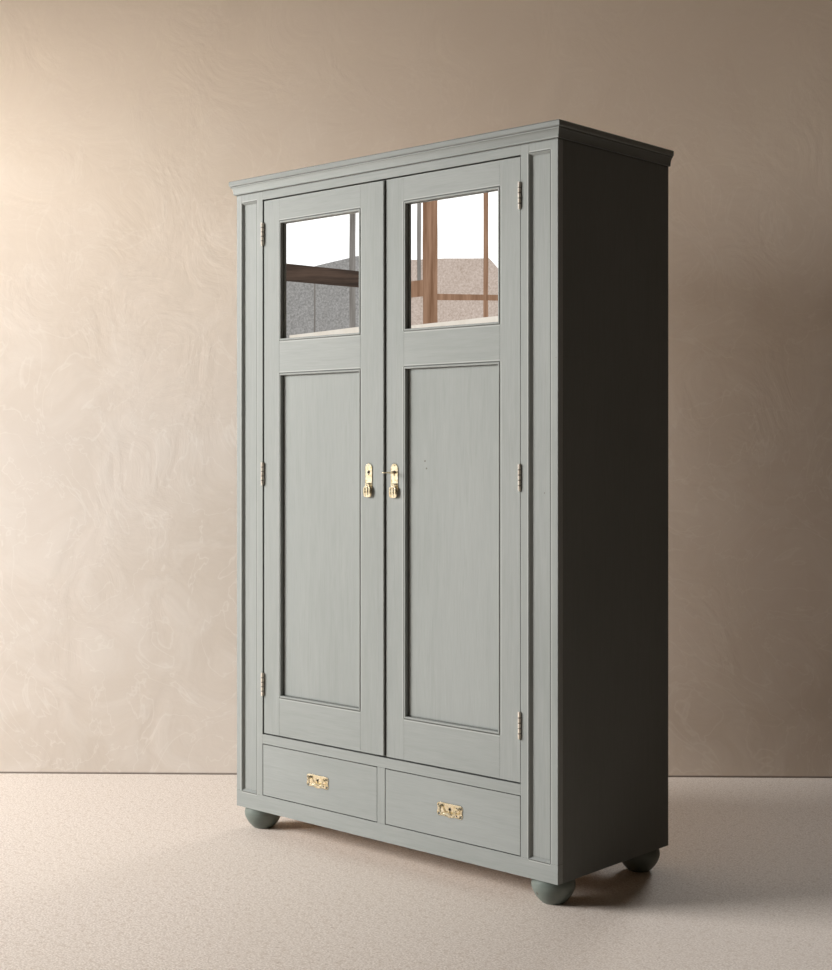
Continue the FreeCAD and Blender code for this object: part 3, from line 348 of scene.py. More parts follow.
# The pilasters' recess edges, and the bottom rail below them, get painted shadow and highlight lines.
paint_pilaster = green_paint("paint on the pilasters", "Z", 0.13, bare_inside=True,
                             edges=(("X", recess_high.x, 1, recess_low.z, recess_high.z),
                                    ("X", RECESS_INNER, -1, recess_low.z, recess_high.z),
                                    ("Z", recess_high.z, 1, RECESS_INNER, recess_high.x)))
paint_foot_rail = green_paint("paint on the bottom rail", "X", 0.29, bare_inside=True,
                              edges=(("Z", recess_low.z, -1, RECESS_INNER, recess_high.x),))
paint_bevel = green_paint("paint on the bevels", "Z", 0.13, dirt_and_shade=0.25)
paint_level = green_paint("paint level", "X", 0.29, bare_inside=True)
shaded_paint_front_to_back = green_paint("shaded paint front to back", "Y", 0.41, depth=RETURN_SHADE)
shaded_paint_on_top = green_paint("shaded paint on the top", "X", 0.47, depth=TOP_SHADE)

for board in ("left_side", "right_side"):
    wear(board, shaded_paint_on_sides)
for board in ("left_pilaster_frame", "right_pilaster_frame"):
    wear(board, paint_pilaster)
for board in ("pilaster_panels", "drawer_muntin"):
    wear(board, paint_upright)
wear("pilaster_bevels", paint_bevel, 0.0006)
for board in ("header_rail", "middle_rail", "cornice_front"):
    wear(board, paint_level)
wear("bottom_rail", paint_foot_rail)
wear("cornice_top", shaded_paint_on_top)
wear("cornice_returns", shaded_paint_front_to_back)


# ---- Bun feet ----
# Four turned feet in the same paint, a little darker and glossier than the boards, with the fine
# rings of the lathe showing through. A small dark brown spot marks the front right one.

FOOT_LIGHT = (0.150, 0.172, 0.152, 1)
FOOT_DEEP = (0.112, 0.134, 0.118, 1)
FOOT_RING = (0.095, 0.115, 0.10, 1)
FOOT_DARK_SPOT = ((0.548, -0.2262, 0.0292), 0.0052)


def turned_paint(name):
    """Paint over turned wood: fine level rings, a deeper colour and a soft shine."""
    made, tree = new_material(name)
    rings = cloudy(tree, run_along(tree, "XY", 16.0), 240.0, 2.0)
    patches = cloudy(tree, run_along(tree, "Z", 1.0), 14.0, 3.0)
    colour = mixed(tree, spread(tree, patches, 0.3, 0.7), FOOT_DEEP, FOOT_LIGHT)
    colour = over(tree, colour, FOOT_RING, rings, 0.4, 0.8, 0.3)
    colour = chipped(tree, colour, (FOOT_DARK_SPOT,))
    rough = spread(tree, patches, 0.3, 0.7, 0.34, 0.46)
    return finish_of(made, colour, rough, rings, deep=0.0003)


wear("bun_feet", turned_paint("paint on the feet"), 0)


# ---- Doors ----
# Framed doors with stiles, rails, a flat lower panel and beads, painted like the carcass. The left
# door carries the cover strip over the gap. Stiles are painted up and down, rails across.

PANEL_CHIPS = (((0.1534, -0.2185, 1.1375), 0.0030), ((0.159, -0.2185, 1.1169), 0.0028))
beads_low, beads_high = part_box("right_door_beads")
panel_low, panel_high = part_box("right_door_panel")
mirror_low, mirror_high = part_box("right_door_mirror")
groove = beads_low.z - panel_low.z
lower_opening = (beads_low.z, panel_high.z - groove)
upper_opening = (mirror_low.z + groove, beads_high.z)
# Painted shadow and highlight lines along the door frames' edges round both openings.
stile_edges = [("X", edge, out) + opening for edge, out in ((beads_high.x, 1), (beads_low.x, -1))
               for opening in (lower_opening, upper_opening)]
rail_edges = [("Z", opening[end], out, beads_low.x, beads_high.x)
              for opening in (lower_opening, upper_opening) for end, out in ((0, -1), (1, 1))]
paint_door = green_paint("paint on door stiles", "Z", 0.53, edges=stile_edges)
paint_rail = green_paint("paint on door rails", "X", 0.67, edges=rail_edges)
paint_bead = green_paint("paint on the beads", "Z", 0.53)
paint_panel = green_paint("paint on door panels", "Z", 0.79, chips=PANEL_CHIPS)

for word in ("left", "right"):
    wear(f"{word}_door_stiles", paint_door)
    wear(f"{word}_door_rails", paint_rail)
    wear(f"{word}_door_panel", paint_panel, 0)
    wear(f"{word}_door_beads", paint_bead, 0.0012)
wear("meeting_strip", paint_bead)


# ---- Mirrors ----
# Old silvered plate glass in the upper door openings. It is very slightly wavy and has a faint
# haze, where its silvering has browned a little.

SILVER = (0.93, 0.93, 0.92, 1)
SILVER_HAZE = (0.84, 0.83, 0.80, 1)
RIPPLE = 0.00006


def old_mirror(name):
    """Silvered glass with a faint ripple."""
    made, tree = new_material(name)
    place = run_along(tree, "Z", 1.6)
    ripple = cloudy(tree, place, 7.0, 1.0)
    haze = cloudy(tree, place, 26.0, 3.0)
    colour = mixed(tree, spread(tree, haze, 0.35, 0.8, 0.0, 0.5), SILVER, SILVER_HAZE)
    return finish_of(made, colour, 0.0, ripple, deep=RIPPLE, Metallic=1.0)


glass = old_mirror("old mirror")
for word in ("left", "right"):
    wear(f"{word}_door_mirror", glass, 0)


# ---- Drawers ----
# Two drawers side by side. Each has a painted front on a bare pine box: two sides, a back and a bottom,
# nailed together, which slides on the runners.

paint_drawer = green_paint("paint on drawer fronts", "X", 0.91)
for word in ("left", "right"):
    wear(f"{word}_drawer_front", paint_drawer, 0.0012)
    wear(f"{word}_drawer_box", pine_deep, 0.0008)


# ---- Hinges, bolts and lock ----
# Brass butt hinges with steel screws, two steel slide bolts on the left door's back, and the steel
# lock case with its bolt in the right door's edge.

BRASS_PALE = (0.98, 0.91, 0.72, 1)
BRASS_DEEP = (0.84, 0.72, 0.47, 1)
BRASS_BROWN = (0.20, 0.115, 0.045, 1)
BRASS_BLACK = (0.055, 0.032, 0.015, 1)
HINGE_PALE = (0.95, 0.89, 0.79, 1)
HINGE_DEEP = (0.80, 0.73, 0.62, 1)
STEEL_LIGHT = (0.36, 0.35, 0.33, 1)
STEEL_DARK = (0.20, 0.185, 0.165, 1)
STEEL_RUST = (0.16, 0.08, 0.04, 1)
BARREL_R = 0.0037


def old_brass(name, size, brown, rough_low, rough_high, pale=BRASS_PALE, deep=BRASS_DEEP, joints=(),
              pin_y=0.0, metal=1.0):
    """Polished brass gone brown in patches, and black in the joints at given heights."""
    made, tree = new_material(name)
    place = run_along(tree, "Z", 1.0)
    patches = cloudy(tree, place, size, 4.0, 0.6)
    fine = cloudy(tree, place, size * 6.0, 2.0)
    colour = mixed(tree, spread(tree, patches, 0.35, 0.65), pale, deep)
    colour = over(tree, colour, BRASS_BROWN, patches, 0.58, 0.78, brown)
    # Tarnish and painted shade blacken the brass in its hollows.
    colour = mixed(tree, dirt_and_shade_in_hollows(tree, 0.0035, 0.86, 0.45), colour, BRASS_BLACK)
    if joints:
        apart = split(tree, place)
        away = 1.0
        for joint in joints:
            away = reckon(tree, "MINIMUM", away, gap(tree, apart[2], joint))
        on_barrel = reckon(tree, "LESS_THAN", gap(tree, apart[1], pin_y), BARREL_R)
        line = times(tree, spread(tree, away, 0.0020, 0.0010, 0.0, 0.7), on_barrel)
        colour = mixed(tree, line, colour, BRASS_BLACK)
    rough = spread(tree, fine, 0.3, 0.7, rough_low, rough_high)
    return finish_of(made, colour, rough, fine, deep=0.00012, Metallic=metal)


def dull_steel(name):
    """Iron and steel fittings, dark and rubbed bright in places."""
    made, tree = new_material(name)
    place = run_along(tree, "Z", 3.0)
    patches = cloudy(tree, place, 60.0, 4.0, 0.6)
    fine = cloudy(tree, place, 500.0, 2.0)
    colour = mixed(tree, patches, STEEL_LIGHT, STEEL_DARK)
    colour = over(tree, colour, STEEL_RUST, patches, 0.62, 0.75, 0.5)
    rough = spread(tree, fine, 0.3, 0.7, 0.32, 0.55)
    return finish_of(made, colour, rough, fine, deep=0.0001, Metallic=1.0)


brass = old_brass("brass of the pulls", 90.0, 0.45, 0.16, 0.32)
steel = dull_steel("steel fittings")

for part in ("bolt_guides", "top_bolt", "bottom_bolt", "lock_case", "lock_bolt"):
    wear(part, steel, 0)


def done(shape, name, body, material, crease=38):
    """Closes a bmesh into a named piece that rides on a body."""
    bmesh.ops.remove_doubles(shape, verts=shape.verts, dist=0.000005)
    bmesh.ops.recalc_face_normals(shape, faces=shape.faces)
    mesh = bpy.data.meshes.new(name)
    shape.to_mesh(mesh)
    shape.free()
    mesh.shade_smooth()
    mesh.set_sharp_from_angle(angle=math.radians(crease))
    mesh.materials.append(material)
    piece = bpy.data.objects.new(name, mesh)
    bpy.context.scene.collection.objects.link(piece)
    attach(piece, body)
    return piece


def lift(shape, faces, way):
    """Raises faces along a way, with walls round them, and gives what it made."""
    made = bmesh.ops.extrude_face_region(shape, geom=faces)["geom"]
    bmesh.ops.translate(shape, verts=[v for v in made if isinstance(v, bmesh.types.BMVert)], vec=way)
    return made


def turned(shape, outline, foot, axis, steps=32):
    """Turns an outline of (out from the axis, along it) into a round solid."""
    axis = Vector(axis).normalized()
    side = axis.orthogonal().normalized()
    foot = Vector(foot)
    corners = [shape.verts.new(foot + side * out + axis * along) for out, along in outline]
    edges = [shape.edges.new(pair) for pair in zip(corners, corners[1:])]
    bmesh.ops.spin(shape, geom=corners + edges, cent=foot, axis=axis, angle=math.tau, steps=steps,
                   use_merge=True)


def loose_parts(node):
    """The middle of each separate solid of a CAD node, in the same order every time."""
    copy = bmesh.new()
    copy.from_mesh(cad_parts[node].data)
    bmesh.ops.remove_doubles(copy, verts=copy.verts, dist=CORNER_JOIN)
    left, middles = set(copy.verts), []
    while left:
        edge = [left.pop()]
        group = list(edge)
        while edge:
            near = {other for vert in edge for link in vert.link_edges for other in link.verts} & left
            left -= near
            edge = list(near)
            group += edge
        low = Vector([min(vert.co[axis] for vert in group) for axis in range(3)])
        high = Vector([max(vert.co[axis] for vert in group) for axis in range(3)])
        middles.append((low + high) / 2)
    copy.free()
    return sorted(middles, key=lambda middle: [round(share, 4) for share in middle])


HINGE_LONG, KNUCKLES = 0.068, 5
pins_low, pins_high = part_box("hinge_pins")
hinge_heights = sorted({round(middle.z, 3) for middle in loose_parts("hinge_pins")})
knuckle_joints = [height + HINGE_LONG * (step / KNUCKLES - 0.5)
                  for height in hinge_heights for step in range(1, KNUCKLES)]
hinge_brass = old_brass("brass of the hinges", 60.0, 0.40, 0.34, 0.52, HINGE_PALE, HINGE_DEEP,
                        knuckle_joints, (pins_low.y + pins_high.y) / 2, 0.55)
for part in ("hinge_frame_leaves", "left_door_hinge_leaves", "right_door_hinge_leaves", "hinge_pins"):
    wear(part, hinge_brass, 0)


HEAD_T, SLOT_HALF, SLOT_DEEP = 0.35, 0.13, 0.25    # a screw head's sizes, as shares of its radius


def screw_head(shape, face, out, radius, turn):
    """A slotted flat head lying in its countersink, its face at a point and looking out."""
    head = bmesh.new()
    bmesh.ops.create_circle(head, cap_ends=True, segments=24, radius=radius)
    lift(head, head.faces[:], (0, 0, radius * HEAD_T))
    for sign in (-1, 1):
        bmesh.ops.bisect_plane(head, geom=head.verts[:] + head.edges[:] + head.faces[:],
                               plane_co=(0, sign * radius * SLOT_HALF, 0), plane_no=(0, 1, 0))
    slot = [f for f in head.faces if f.normal.z > 0.9 and abs(f.calc_center_median().y) < radius * 0.1
            and f.calc_center_median().z > radius * 0.3]
    lift(head, slot, (0, 0, -radius * SLOT_DEEP))
    bmesh.ops.delete(head, geom=slot, context="FACES_KEEP_BOUNDARY")
    aim = Vector(out).to_track_quat("Z", "Y").to_matrix().to_4x4()
    place = Matrix.Translation(Vector(face) - Vector(out) * radius * HEAD_T)
    bmesh.ops.transform(head, matrix=place @ aim @ Matrix.Rotation(turn, 4, "Z"), verts=head.verts)
    mesh = bpy.data.meshes.new("head")
    head.to_mesh(mesh)
    head.free()
    shape.from_mesh(mesh)
    bpy.data.meshes.remove(mesh)


SCREW_R = 0.0030
LEAF_X, DOOR_LEAF_X = 0.5, 0.4965     # faces of the frame's leaves and of the door's leaves
frame_heads, door_heads = bmesh.new(), {-1: bmesh.new(), 1: bmesh.new()}
for count, middle in enumerate(loose_parts("hinge_frame_screws")):
    side = 1 if middle.x > 0 else -1
    inward = Vector((-side, 0, 0))
    on_leaf = Vector((side * LEAF_X, middle.y, middle.z))
    screw_head(frame_heads, on_leaf, inward, SCREW_R, 0.7 * count)
    on_door = Vector((side * DOOR_LEAF_X, middle.y, middle.z))
    screw_head(door_heads[side], on_door, -inward, SCREW_R, 0.4 + 0.9 * count)
frame_screws = done(frame_heads, "frame_hinge_screws", "carcass", steel)
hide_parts("hinge_frame_screws")
for side, word in ((-1, "left"), (1, "right")):
    done(door_heads[side], f"{word}_door_hinge_screws", f"{word}_door", steel)


# ---- Door pulls ----
# Stamped brass plates with a round head, a sunk middle and a keyhole, pinned to the stiles. A cast
# bell pull with three upright lobes hangs by two lugs on each plate's pin.

PIVOT = Vector((0, -0.2375, 1.072))
EYE_R = 0.0026
EYE_HALF = 0.003        # half of the eye's width
PIN_HALF = 0.0062       # half of the pin's length
PIN_R = 0.0011
LUG_START = 0.0033      # middle to a lug's inner face
NECK = 0.002            # eye to the bell's top
LOBES = 3
KEYHOLE_Z = 1.105
KEYHOLE_R, SLOT_W, SLOT_L = 0.0034, 0.0032, 0.0088
SHADE_SHEET_R, SHADE_SHEET_T = 0.0040, 0.0003
DRILL_L = 0.02
PLATE_T, PLATE_RIM, PLATE_SUNK = 0.0020, 0.0016, 0.0006
STANDING = Matrix.Rotation(math.radians(90), 4, "X")    # turns a level shape to face the room
# Colours of the painted shade in the keyholes.
SHADE_SHEET_DEEP = (0.010, 0.008, 0.006, 1)
SHADE_SHEET_BROWN = (0.022, 0.016, 0.011, 1)


def cut_through(piece, tools):
    """Cuts tool solids out of a piece for good, and takes the tools away."""
    for tool in tools:
        cut = piece.modifiers.new("cut", "BOOLEAN")
        cut.operation, cut.solver, cut.object = "DIFFERENCE", "EXACT", tool
    bpy.context.view_layer.update()
    mesh = bpy.data.meshes.new_from_object(piece.evaluated_get(bpy.context.evaluated_depsgraph_get()))
    piece.modifiers.clear()
    piece.data = mesh
    for tool in tools:
        bpy.data.objects.remove(tool)
    mesh.set_sharp_from_angle(angle=math.radians(38))


def drill(place, radius, width=0.0, length=0.0):
    """Tools for a round hole through a face that looks forward, with a slot below it for a keyhole."""
    tools = []
    shape = bmesh.new()
    bmesh.ops.create_cone(shape, cap_ends=True, segments=28, radius1=radius, radius2=radius, depth=DRILL_L,
                          matrix=Matrix.Translation(place) @ STANDING)
    shapes = [shape]
    if length:
        shape = bmesh.new()
        bmesh.ops.create_cube(shape, size=1.0, matrix=Matrix.Translation(place - Vector((0, 0, length / 2)))
                              @ Matrix.Diagonal((width, DRILL_L, length, 1)))
        shapes.append(shape)
    for shape in shapes:
        mesh = bpy.data.meshes.new("drill")
        shape.to_mesh(mesh)
        shape.free()
        tools.append(bpy.data.objects.new("drill", mesh))
        bpy.context.scene.collection.objects.link(tools[-1])
    return tools


def keyhole_shade_sheet(name, body, place):
    """Painted shade in a blind keyhole: a near-black sheet just proud of the wood behind the plate."""
    shade_sheet = bmesh.new()
    bmesh.ops.create_circle(shade_sheet, cap_ends=True, segments=28, radius=SHADE_SHEET_R,
                            matrix=Matrix.Translation(place) @ STANDING)
    for vert in shade_sheet.verts:
        if vert.co.z < place.z - 0.002:
            vert.co.z -= 0.0062
            vert.co.x = place.x + (vert.co.x - place.x) * 0.7
    lift(shade_sheet, shade_sheet.faces[:], (0, -SHADE_SHEET_T, 0))
    done(shade_sheet, name, body, shade_sheet_black)


# The keyhole sheet's colour is painted shade: near-black with a little brown.
shade_sheet_black, tree = new_material("keyhole painted shade")
sheet_shade = mixed(tree, cloudy(tree, run_along(tree, "Z", 1.0), 700.0), SHADE_SHEET_DEEP, SHADE_SHEET_BROWN)
finish_of(shade_sheet_black, sheet_shade, 0.9, cloudy(tree, run_along(tree, "Z", 1.0), 900.0), deep=0.0001)


def front_rim(shape, y):
    """Edges that lie in a front face at depth y."""
    return [edge for edge in shape.edges if all(abs(vert.co.y - y) < 1e-6 for vert in edge.verts)]


def rimmed_plate(shape, depth, rim, sunk):
    """Thickens a flat outline forward, leaves a rim round its front and softens the edges."""
    face = shape.faces[:]
    back_y = shape.verts[:][0].co.y
    front = [f for f in lift(shape, face, (0, -depth, 0)) if isinstance(f, bmesh.types.BMFace)]
    bmesh.ops.inset_region(shape, faces=front, thickness=rim, depth=0.0)
    bmesh.ops.inset_region(shape, faces=front, thickness=sunk, depth=0.0)
    for vert in front[0].verts:
        vert.co.y += sunk
    outer = [edge for edge in front_rim(shape, back_y - depth)
             if any(abs(face.normal.y) < 0.5 for face in edge.link_faces)]
    bmesh.ops.bevel(shape, geom=outer, offset=depth * 0.35, segments=3, profile=0.5, affect="EDGES",
                    material=-1)


for side, word in ((-1, "left"), (1, "right")):
    low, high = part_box(f"{word}_door_pull_plate")
    middle, half = (low.x + high.x) / 2, (high.x - low.x) / 2
    back, head_z = high.y, high.z - half
    floor_y = back - (PLATE_T - PLATE_SUNK)
    plate = bmesh.new()
    bmesh.ops.create_circle(plate, cap_ends=True, segments=56, radius=half,
                            matrix=Matrix.Translation((middle, back, head_z)) @ STANDING)
    for vert in plate.verts:
        drop = (head_z - vert.co.z) / half
        if drop > 0.01:
            vert.co.z = low.z + (1 - drop) * 0.004
            vert.co.x = middle + (vert.co.x - middle) * (1 if drop < 0.5 else 1.02)
    for vert in plate.verts:
        vert.co.x = min(max(vert.co.x, low.x), high.x)
    rimmed_plate(plate, PLATE_T, PLATE_RIM, PLATE_SUNK)
    plate_piece = done(plate, f"{word}_pull_plate", f"{word}_door", brass)
    cut_through(plate_piece, drill(Vector((middle, back, KEYHOLE_Z)), KEYHOLE_R, SLOT_W, SLOT_L))
    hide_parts(f"{word}_door_pull_plate")

    if word == "left":
        keyhole_shade_sheet("left_door_keyhole_shade", "left_door", Vector((middle, back, KEYHOLE_Z)))

    studs = bmesh.new()
    dome = [(0, 0.0010), (0.0009, 0.0009), (0.0016, 0.0005), (0.0019, 0.0), (0, 0.0)]
    for z in (high.z - 0.0055, low.z + 0.0060):
        turned(studs, dome, (middle, floor_y, z), (0, -1, 0), 20)
    collar = [(0.0052, 0), (0.0052, 0.0007), (0.0044, 0.0011), (0.0038, 0.0007), (0.0036, 0)]
    turned(studs, collar, (middle, floor_y, KEYHOLE_Z), (0, -1, 0), 36)
    pivot = (middle, PIVOT.y, PIVOT.z)
    for half_long, out, steps in ((EYE_HALF, EYE_R, 24), (PIN_HALF, PIN_R, 16)):
        barrel = [(0, -half_long), (out, -half_long), (out, half_long), (0, half_long)]
        turned(studs, barrel, pivot, (1, 0, 0), steps)
    bracket = Matrix.Translation((middle, (PIVOT.y + floor_y) / 2, PIVOT.z))
    bracket = bracket @ Matrix.Diagonal((2 * EYE_HALF, abs(PIVOT.y - floor_y), EYE_R, 1))
    bmesh.ops.create_cube(studs, size=1.0, matrix=bracket)
    done(studs, f"{word}_pull_plate_studs", f"{word}_door", brass)

    low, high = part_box(f"{word}_door_pull")
    bell_top = PIVOT.z - EYE_R - NECK
    bell_mid, bell_half = (bell_top + low.z) / 2, (bell_top - low.z) / 2
    bell_w = (high.x - low.x) / 2
    thick, mid_y = (high.y - low.y) / 2, (high.y + low.y) / 2
    bell = bmesh.new()
    bmesh.ops.create_uvsphere(bell, u_segments=72, v_segments=36, radius=1.0)
    for vert in bell.verts:
        across, up = vert.co.x, vert.co.z
        across = math.copysign(abs(across) ** 0.72, across)
        up = math.copysign(abs(up) ** 0.62, up)
        lobe = abs(math.cos(LOBES * math.pi / 2 * across)) ** 0.7
        out = math.copysign(abs(vert.co.y) ** 0.8, vert.co.y) * (0.38 + 0.62 * lobe)
        if up > 0.62:
            out *= 1 - 0.45 * math.exp(-((up - 0.72) / 0.07) ** 2)
        width = 0.80 + 0.20 * min(1.0, (1 - up) / 0.55)
        foot = 0.0012 * (1 - lobe) if up < -0.4 else 0.0
        vert.co.x = middle + across * bell_w * width
        vert.co.y, vert.co.z = mid_y + out * thick, bell_mid + up * bell_half + foot
    lugs = [(0, LUG_START), (EYE_R, LUG_START), (EYE_R, PIN_HALF), (0, PIN_HALF)]
    for lug in (-1, 1):
        turned(bell, lugs, pivot, (lug, 0, 0), 24)
        bmesh.ops.create_cube(bell, size=1.0, matrix=Matrix.Translation(
            (middle + lug * (LUG_START + PIN_HALF) / 2, PIVOT.y, (PIVOT.z + bell_top - NECK) / 2))
            @ Matrix.Diagonal((PIN_HALF - LUG_START, EYE_R * 0.9, PIVOT.z - bell_top + NECK, 1)))
    bell_piece = done(bell, f"{word}_bell_pull", f"{word}_door_pull", brass)
    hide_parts(f"{word}_door_pull")


# ---- Key ----
# A small brass key with a ring bow, turned collars and a bit, standing in the right door's lock.

low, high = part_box("key")
KEY_AXIS = Vector(((low.x + high.x) / 2, 0, KEYHOLE_Z))
BOW_R, BOW_WIRE_R = 0.011, 0.0019
BOW_SHORT, BOW_FLAT = 0.85, 0.78        # the bow's length and thickness, as shares of a round ring's
BIT_W, BIT_L, BIT_BACK = 0.0022, 0.0065, 0.0050
bow_y = low.y + BOW_R
key = bmesh.new()
bmesh.ops.create_circle(key, segments=16, radius=BOW_WIRE_R,
                        matrix=Matrix.Translation(KEY_AXIS + Vector((BOW_R, bow_y, 0))) @ STANDING)
bmesh.ops.spin(key, geom=key.verts[:] + key.edges[:], cent=KEY_AXIS + Vector((0, bow_y, 0)), axis=(0, 0, 1),
               angle=math.tau, steps=56, use_merge=True)
for vert in key.verts:
    vert.co.y = bow_y + (vert.co.y - bow_y) * BOW_SHORT
    vert.co.z = KEY_AXIS.z + (vert.co.z - KEY_AXIS.z) * BOW_FLAT
stem_y = bow_y + 0.0095
reach = high.y - stem_y
stem = [(0, 0), (0.0022, 0.0002), (0.0030, 0.0016), (0.0030, 0.0030), (0.0021, 0.0042), (0.0021, 0.0060),
        (0.0024, 0.0075), (0.0024, 0.0150), (0.0030, 0.0158), (0.0039, 0.0162), (0.0040, 0.0178),
        (0.0031, 0.0190), (0.0024, 0.0196), (0.0024, reach - 0.0008), (0.0018, reach), (0, reach)]
turned(key, stem, (KEY_AXIS.x, stem_y, KEY_AXIS.z), (0, 1, 0), 32)
bit = Matrix.Translation((KEY_AXIS.x, high.y - BIT_BACK, (low.z + KEY_AXIS.z) / 2))
bit_drop = KEY_AXIS.z - low.z - 0.0002
bmesh.ops.create_cube(key, size=1.0, matrix=bit @ Matrix.Diagonal((BIT_W, BIT_L, bit_drop, 1)))
key_piece = done(key, "door_key", "key", brass)
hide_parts("key")


# ---- Drawer pulls ----
# Stamped brass plates with a curled outline, pierced ends and a keyhole. Two turned posts carry a
# hanging bail with a swollen grip.

def scalloped(across, up, half_w, half_h):
    """The plate's outline: a drawn-in top between two ears, and a belly between two curls below."""
    wide = math.copysign(abs(across) ** 0.38, across)
    tall = math.copysign(abs(up) ** 0.38, up)
    x, z = wide * half_w, tall * half_h
    if up > 0:
        z -= tall * 0.0022 * math.cos(math.pi / 2 * min(1.0, abs(wide) * 1.05)) ** 0.8
    else:
        z += -tall * 0.0034 * math.sin(math.pi * min(1.0, abs(wide) / 0.95)) ** 2
    x -= math.copysign(0.0030 * math.exp(-((z - 0.001) / 0.005) ** 2) * abs(wide) ** 8, across)
    return x, z


POST_OUT, POST_Z, BAIL_Y = 0.033, 0.204, -0.2406
BAIL_PLATE_T, BAIL_PLATE_RIM, BAIL_PLATE_SUNK = 0.0016, 0.0018, 0.0005
HOLE_RISE = 0.0034      # plate's middle to its keyhole
PIERCED = ((0.0405, 0.0105, 0.0026), (0.0385, -0.0125, 0.0034), (0.0245, -0.0110, 0.0024),
           (0.0245, 0.0095, 0.0022))
CURLS = ((0.0385, -0.0125, 0.0052), (0.0405, 0.0105, 0.0040), (0.0150, -0.0145, 0.0030))
for side, word in ((-1, "left"), (1, "right")):
    low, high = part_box(f"{word}_drawer_pull_plate")
    middle, centre_z, back = (low.x + high.x) / 2, (low.z + high.z) / 2, high.y
    half_w, half_h = (high.x - low.x) / 2, (high.z - low.z) / 2
    plate = bmesh.new()
    bmesh.ops.create_circle(plate, cap_ends=True, segments=120, radius=1.0, matrix=STANDING)
    for vert in plate.verts:
        x, z = scalloped(vert.co.x, vert.co.z, half_w, half_h)
        vert.co = Vector((middle + x, back, centre_z + z))
    rimmed_plate(plate, BAIL_PLATE_T, BAIL_PLATE_RIM, BAIL_PLATE_SUNK)
    floor_y, hole = back - (BAIL_PLATE_T - BAIL_PLATE_SUNK), Vector((middle, back, centre_z + HOLE_RISE))
    plate_piece = done(plate, f"{word}_bail_plate", f"{word}_drawer", brass)
    holes = drill(hole, KEYHOLE_R, SLOT_W, SLOT_L)
    for end in (-1, 1):
        for out, up, radius in PIERCED:
            holes += drill(Vector((middle + end * out, back, centre_z + up)), radius)
    cut_through(plate_piece, holes)
    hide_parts(f"{word}_drawer_pull_plate")
    keyhole_shade_sheet(f"{word}_drawer_keyhole_shade", f"{word}_drawer", hole)

    relief = bmesh.new()
    collar = [(0.0052, 0), (0.0052, 0.0006), (0.0044, 0.0010), (0.0038, 0.0006), (0.0036, 0)]
    turned(relief, collar, (middle, floor_y, centre_z + HOLE_RISE), (0, -1, 0), 36)
    for end in (-1, 1):
        reach = abs(low.y - floor_y)
        post = [(0.0052, 0), (0.0050, 0.0008), (0.0034, 0.0014), (0.0026, 0.0024), (0.0028, reach - 0.0058),
                (0.0036, reach - 0.0046), (0.0038, reach - 0.0028), (0.0030, reach - 0.0008),
                (0.0014, reach), (0, reach)]
        turned(relief, post, (middle + end * POST_OUT, floor_y, POST_Z), (0, -1, 0), 28)
        for out, up, size in CURLS:
            curl = [(size, 0), (size - 0.0003, 0.0007), (size - 0.0009, 0.0009), (size - 0.0014, 0.0005),
                    (size - 0.0016, 0)]
            turned(relief, curl, (middle + end * out, floor_y, centre_z + up), (0, -1, 0), 28)
        turned(relief, dome, (middle + end * 0.0415, floor_y, centre_z - 0.0015), (0, -1, 0), 20)
    done(relief, f"{word}_bail_plate_relief", f"{word}_drawer", brass)

    low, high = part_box(f"{word}_drawer_pull")
    line = bpy.data.curves.new(f"{word}_bail", "CURVE")
    line.dimensions, line.bevel_depth, line.bevel_resolution = "3D", 1.0, 5
    line.use_fill_caps, line.resolution_u = True, 10
    spline = line.splines.new("NURBS")
    arm = POST_OUT - 0.0048
    route = [(-POST_OUT, 0, 0, 0.0016), (-arm - 0.001, 0, 0, 0.0017), (-arm, -0.0004, -0.0020, 0.0019),
             (-arm + 0.0008, -0.0026, -0.0130, 0.0018), (-arm + 0.0050, -0.0038, -0.0168, 0.0021),
             (-0.0150, -0.0040, -0.0168, 0.0020), (-0.0090, -0.0040, -0.0170, 0.0031),
             (0, -0.0040, -0.0170, 0.0034)]
    route += [(-x, y, z, r) for x, y, z, r in reversed(route[:-1])]
    spline.points.add(len(route) - 1)
    for point, (x, y, z, r) in zip(spline.points, route):
        point.co = (middle + x, BAIL_Y + y, POST_Z + z, 1)
        point.radius = r
    spline.order_u, spline.use_endpoint_u = 3, True
    drawn = bpy.data.objects.new("bail", line)
    bpy.context.scene.collection.objects.link(drawn)
    bpy.context.view_layer.update()
    tube = bpy.data.meshes.new_from_object(drawn.evaluated_get(bpy.context.evaluated_depsgraph_get()))
    bpy.data.objects.remove(drawn)
    bail = bmesh.new()
    bail.from_mesh(tube)
    for end in (-1, 1):
        bead = [(0, -0.0010), (0.0018, -0.0009), (0.0023, 0), (0.0018, 0.0009), (0, 0.0010)]
        for out, reach in ((0.0095, 1.1), (0.0165, 0.95)):
            turned(bail, [(r * reach * 1.15, along) for r, along in bead],
                   (middle + end * out, BAIL_Y - 0.0040, POST_Z - 0.0169), (1, 0, 0), 24)
    bail_piece = done(bail, f"{word}_bail_pull", f"{word}_drawer_pull", brass)
    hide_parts(f"{word}_drawer_pull")


# ---- Nails of the back ----
# The back planks are nailed to the bottom, deck and roof boards with flat iron nails, two to a plank
# at each board. Their heads stand a little proud of the wood.

NAIL_ROWS = (0.075, 0.294, 1.949)
nails = bmesh.new()
low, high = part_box("back_boards")
heads = [(0, 0.0009), (0.0022, 0.0007), (0.0027, 0.0003), (0.0027, -0.0008), (0, -0.0008)]
for count in range(PLANKS):
    for share in (0.2, 0.8):
        for row in NAIL_ROWS:
            stray = 0.004 * math.sin(7 * count + 9 * share)
            place = (low.x + PLANK_W * (count + share), high.y - 0.0003, row + stray)
            turned(nails, heads, place, (0, 1, 0), 12)
done(nails, "back_nails", "carcass", steel)


# ---- Room ----
# A pale speckled floor, a plastered wall behind the wardrobe that is only seen from the room's
# side, and what the mirrors look at: a bright window with timber bars.

